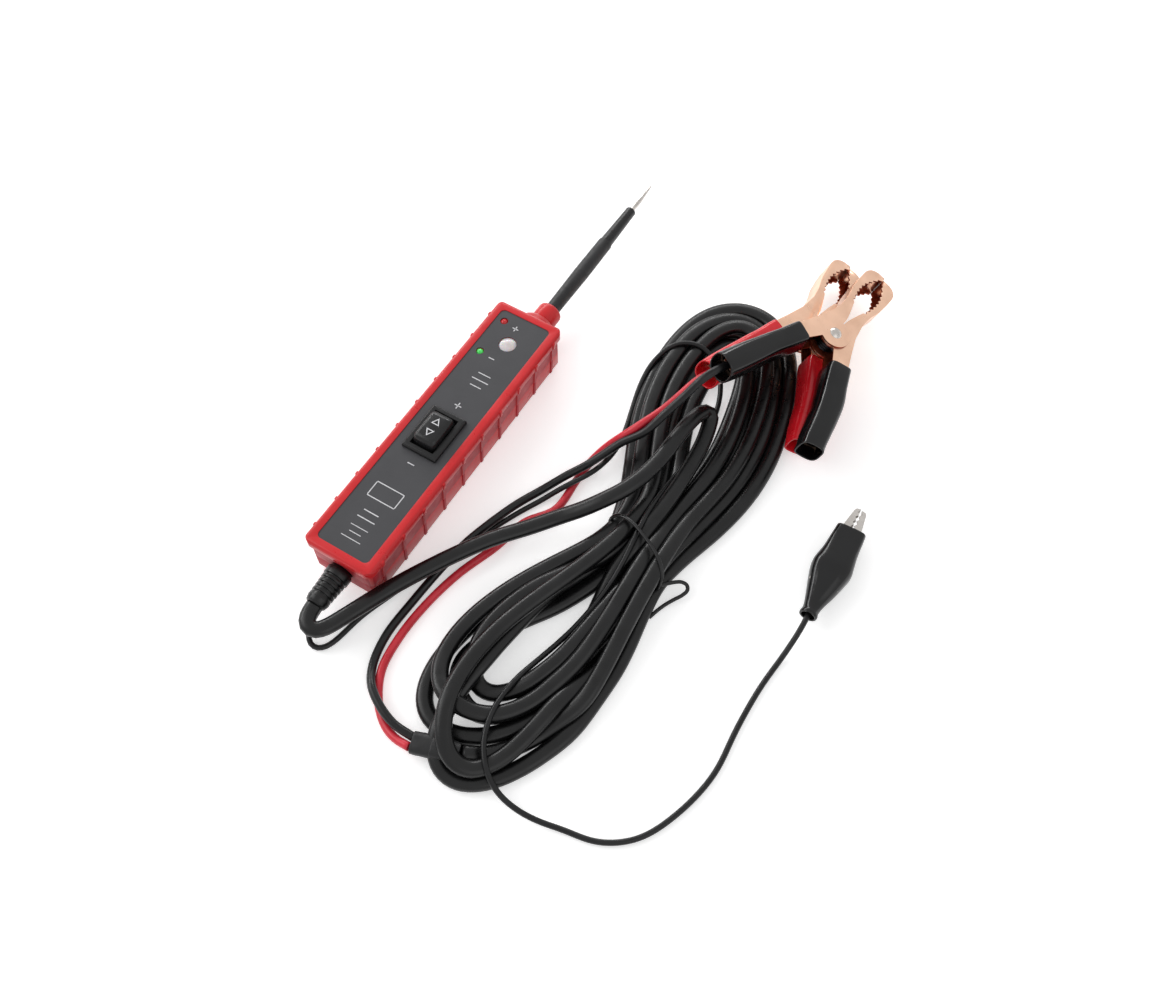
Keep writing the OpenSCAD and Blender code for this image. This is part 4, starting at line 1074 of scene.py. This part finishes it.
# %% The split sleeve
SPLIT = moved(73, -95.3, 4.7) @ turned("Z", 18) @ turned("Y", -90)
INNER_SHRINK = [(7.5, 2.75, 3.9, 2.4, 0), (9, 2.7, 4.1, 2.4, 0), (12, 2.5, 4.15, 2.5, 0.1),
    (15, 2.45, 4.05, 2.6, 0), (17, 2.35, 4, 2.6, 0)]
OUTER_SHRINK = [(0, 3, 3.55, 2.2, 0), (1, 3.15, 3.7, 2.2, 0), (4, 3.2, 4, 2.3, 0.1),
    (7, 3.1, 4.35, 2.4, 0), (9.2, 3, 4.4, 2.4, 0), (10, 2.9, 4.3, 2.4, 0)]
inner_shrink = drawn_tube("inner_shrink", INNER_SHRINK, wall=0.5, rim=0.15)
outer_shrink = drawn_tube("outer_shrink", OUTER_SHRINK, wall=0.5, rim=0.15)
for piece in (inner_shrink, outer_shrink):
    crumple(piece, 1.6, 0.3)
both_shrinks = joined([outer_shrink, inner_shrink])
sleeve = copy_at(both_shrinks, "shrink_sleeve", SPLIT)
bpy.data.objects.remove(both_shrinks)
settled_on(sleeve, shrink_black, "root", "split_sleeve")

# %% [markdown]
# ## The twist tie
# A plastic-coated wire goes once round the hank's waist and ends in a loose hook. The band is one
# closed line with a flat bottom and a rounded top, bent a little off the vertical; the hook leaves
# it at the right. Both get the same skin as the cords.

# %% The tie
TIE = moved(85, 0, 0) @ turned("Z", -26)
WIRE_W = 1.5
WIRE_H = 1.1
round_waist = []
for k in range(61):
    angle = 2 * math.pi * k / 60
    c, up = math.cos(angle), math.sin(angle)
    across = 16 * math.copysign(abs(c) ** 0.75, c)
    high = 7.5 + 6.9 * math.copysign(abs(up) ** (0.8 if up > 0 else 0.55), up)
    round_waist.append([across, 4.5 * up * (1 if up > 0 else 0.3), high])
HOOK = [[15.9, 0.2, 7], [16.6, 3, 6.5], [17.2, 6, 5.5], [18.2, 8.6, 4.6], [20, 9.8, 3.9],
    [21.6, 9, 3.2], [22, 6.5, 2.6], [21.6, 3, 2], [21.4, -1, 1.5], [21.8, -5, 1.3],
    [22.4, -8.2, 1.2]]
band = cord_skin("tie_band", smooth_line(round_waist, 0.9), WIRE_W, WIRE_H, 10)
end = cord_skin("tie_hook", smooth_line(HOOK, 0.7), WIRE_W, WIRE_H, 10)
joined([band, end])
tie = copy_at(band, "tie_wire", TIE)
bpy.data.objects.remove(band)
settled_on(tie, black_hard, "root", "twist_tie")

# %% [markdown]
# ## Printed marks
# The label carries plain signs and rules of ink: a plus by the red light, a minus by the green one,
# the same at the switch's two ends, and rules and a frame further down. Ink is thin, but it has an
# edge, so each mark is a flat bar with rounded corners that is extruded by a few hundredths of a
# millimetre. That stays sharp at any zoom. The marks are joined into one piece.

# %% Bars of ink
INK = 0.03
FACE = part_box("label_plate")[1][2] / MM


def extruded_ink():
    """The outline in edit mode gets the ink's thickness, and its faces point outwards."""
    bpy.ops.mesh.extrude_region_move(TRANSFORM_OT_translate={"value": (0, 0, INK * MM)})
    bpy.ops.mesh.select_all(action="SELECT")
    bpy.ops.mesh.normals_make_consistent(inside=False)
    bpy.ops.object.mode_set(mode="OBJECT")


def bar(x, y, length, width, turn=0.0):
    """A flat bar of ink on the label, its corners rounded."""
    deselect()
    bpy.ops.mesh.primitive_plane_add(size=MM, location=(0, 0, FACE * MM))
    made = bpy.context.object
    bpy.ops.object.mode_set(mode="EDIT")
    bpy.ops.mesh.select_all(action="SELECT")
    bpy.ops.transform.resize(value=(length, width, 1), center_override=(0, 0, FACE * MM))
    bpy.ops.mesh.bevel(offset=0.3 * width * MM, segments=3, affect="VERTICES")
    extruded_ink()
    made.data.transform(moved(x, y, 0) @ turned("Z", turn))
    made.location = (0, 0, 0)
    made.data.transform(moved(0, 0, FACE))
    return made


def printed(marks, name, body):
    """The marks become one white piece that rides on a body."""
    piece = joined(marks)
    piece.name = piece.data.name = name
    paint(print_white, piece)
    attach(piece, body)
    print(piece.name, len(piece.data.polygons), "faces,", rounded(piece.dimensions))


# %% The marks on the label
PLUS_SIGNS = ((-1.5, 54.4, 2.6), (0, 12.3, 3.0))
MINUS_SIGNS = ((-1.5, 37.4, 2.6), (0, -18.2, 3.0))
SIGN_INK = 0.42
RULE_INK = 0.4
FINE_INK = 0.3
marks = []
for x, y, size in PLUS_SIGNS:
    marks += [bar(x, y, size, SIGN_INK), bar(x, y, size, SIGN_INK, 90)]
for x, y, size in MINUS_SIGNS:
    marks.append(bar(x, y, size, SIGN_INK))
for row, length in enumerate((5.6, 7.4, 5.0)):
    marks.append(bar(0.6, 29.4 - 3.1 * row, length, RULE_INK))
marks += [bar(0, y, 12, RULE_INK) for y in (-30.5, -37)]
marks += [bar(x, -33.75, 6.1, RULE_INK, 90) for x in (-6, 6)]
for row, length in enumerate((6.4, 7.6)):
    marks.append(bar(0, -42.5 - 3.2 * row, length, SIGN_INK))
for row, length in enumerate((7.6, 5.0, 8.4)):
    marks.append(bar(0, -49.6 - 2.6 * row, length, FINE_INK))
printed(marks, "label_marks", "root")

# %% [markdown]
# Two outlined triangles on the rocker point to the ends that they switch on. A circle of three
# corners is inset and its middle deleted, which leaves a ring of even width. They ride on the
# rocker's body, so they tilt with it.

# %% Triangles on the rocker
TRIANGLE_R = 2.05
TRIANGLE_INK = 0.4
ROCKER_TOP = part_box("rocker")[1][2] / MM


def triangle(y, turn):
    """An outlined triangle of ink: a ring of three corners, extruded."""
    deselect()
    bpy.ops.mesh.primitive_circle_add(vertices=3, radius=TRIANGLE_R * MM, fill_type="NGON")
    made = bpy.context.object
    bpy.ops.object.mode_set(mode="EDIT")
    bpy.ops.mesh.select_all(action="SELECT")
    bpy.ops.mesh.inset(thickness=TRIANGLE_INK * MM)
    bpy.ops.mesh.delete(type="FACE")
    bpy.ops.mesh.select_all(action="SELECT")
    extruded_ink()
    made.data.transform(moved(0, y, ROCKER_TOP) @ turned("Z", turn))
    return made


printed([triangle(-0.9, 0), triangle(-5.6, 180)], "rocker_marks", "rocker")


# %% [markdown]
# ## Jackets, solids and lengths of the cords
# The cords were drawn first; now they get their jackets and stand for their CAD solids. Each one's
# length is then printed in metres.

# %% Dress the cords
for cord, jacket, slot, *solids in (
        (cable, black_jacket, "cord_black", "main_cable", "cable_hank"),
        (ground, black_thin, "cord_black", "ground_lead", "ground_lead_tail"),
        (red_lead, red_jacket, "cord_red", "red_lead"),
        (black_lead, black_thin, "cord_black", "black_lead")):
    paint(jacket, cord)
    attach(cord, "root")
    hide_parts(*solids)
    print(cord.name, "stands for", *solids)


def real_length(line):
    """A cord's length in metres, to the centimetre."""
    return round(length_of(line) * MM, 2)


for cord, line in cord_lines.items():
    print(cord.name, "is declared", real_length(line), "m long")


# %% [markdown]
# ## The floor
# The tester lies on a plain pale surface. Lamps strong enough to make a floor white would bleach
# the object too. So the floor gives a little light of its own, for camera, glossy and transmission
# rays only: it reads as white, also in metal and glass, and it keeps the object's shadow.

# %% Floor
FLOOR_LIFT = 0.44


def maths(tree, operation, *values):
    """A Math node's result; a value is a number or another node's socket."""
    node = tree.nodes.new("ShaderNodeMath")
    node.operation = operation
    for socket, value in zip(node.inputs, values):
        if isinstance(value, bpy.types.NodeSocket):
            tree.links.new(value, socket)
        else:
            socket.default_value = value
    return node.outputs[0]


def background_rays(tree):
    """1 for the camera's rays, and 1 for the rays of reflections and of glass."""
    rays = tree.nodes.new("ShaderNodeLightPath").outputs
    return rays["Is Camera Ray"], maths(tree, "MAXIMUM", rays["Is Glossy Ray"], rays["Is Transmission Ray"])


deselect()
bpy.ops.mesh.primitive_plane_add(size=4, location=(0.05, 0, -0.0001))
floor = bpy.context.object
floor.name = "floor"
floor_made = finish("pale_floor", (0.9547, 0.9547, 0.9547), metallic=0.0, gloss=0.1)
tree = floor_made.node_tree
shader_of(floor_made)["Roughness"].default_value = 0.9
shader_of(floor_made)["Emission Color"].default_value = (1, 1, 1, 1)
seen = maths(tree, "MAXIMUM", *background_rays(tree))
lift = maths(tree, "MULTIPLY", seen, FLOOR_LIFT)
tree.links.new(lift, shader_of(floor_made)["Emission Strength"])
floor.data.materials.append(floor_made)
floor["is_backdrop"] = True
print(floor.name, rounded(floor.dimensions))

# %% [markdown]
# ## The world
# The world is white where the camera sees it, and lights the object at a plain level. Reflections
# see it nearly white as well, so that copper and vinyl show the same background.

# %% World
WORLD_LIGHT = 0.6
WORLD_IN_MIRRORS = 0.18
world = bpy.data.worlds.new("studio")
bpy.context.scene.world = world
world.use_nodes = True
tree = world.node_tree
background = tree.nodes["Background"].inputs
background["Color"].default_value = (1, 1, 1, 1)
camera_ray, mirror_ray = background_rays(tree)
mirrored = maths(tree, "MULTIPLY_ADD", mirror_ray, WORLD_IN_MIRRORS, WORLD_LIGHT)
tree.links.new(maths(tree, "MAXIMUM", mirrored, camera_ray), background["Strength"])
print("world at", WORLD_LIGHT, "and", WORLD_LIGHT + WORLD_IN_MIRRORS, "in reflections")


# %% [markdown]
# ## The lamps
# A large key lamp from the left gives the soft shadow to the right, and a larger fill opens it. Two
# long strips, left and behind, draw the thin lines of light along the cable's turns.

# %% Lamps
AIM = (0.06, 0, 0)


def soft_lamp(name, place, size, power, height=None):
    """A large rectangular lamp that looks at the middle of the object."""
    data = bpy.data.lights.new(name, "AREA")
    data.shape = "RECTANGLE"
    data.size = size
    data.size_y = height or size
    data.energy = power
    lamp = bpy.data.objects.new(name, data)
    lamp.location = place
    lamp.rotation_euler = (Vector(AIM) - Vector(place)).to_track_quat("-Z", "Y").to_euler()
    bpy.context.scene.collection.objects.link(lamp)


soft_lamp("key_lamp", (-0.75, -0.3, 0.85), 0.6, 2.2)
soft_lamp("fill_lamp", (0.9, -0.3, 0.8), 0.9, 1.4)
soft_lamp("left_strip", (-0.88, 0.1, 0.5), 1.0, 3.2, height=0.16)
soft_lamp("back_strip", (-0.5, 0.78, 0.48), 0.9, 3.2, height=0.16)
bpy.context.scene.view_settings.view_transform = "Standard"

# %% [markdown]
# ## Sizes
# The dressed object's box is measured and printed.

# %% Sizes and finish
low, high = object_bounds()
print("dressed box:", rounded(low), rounded(high))
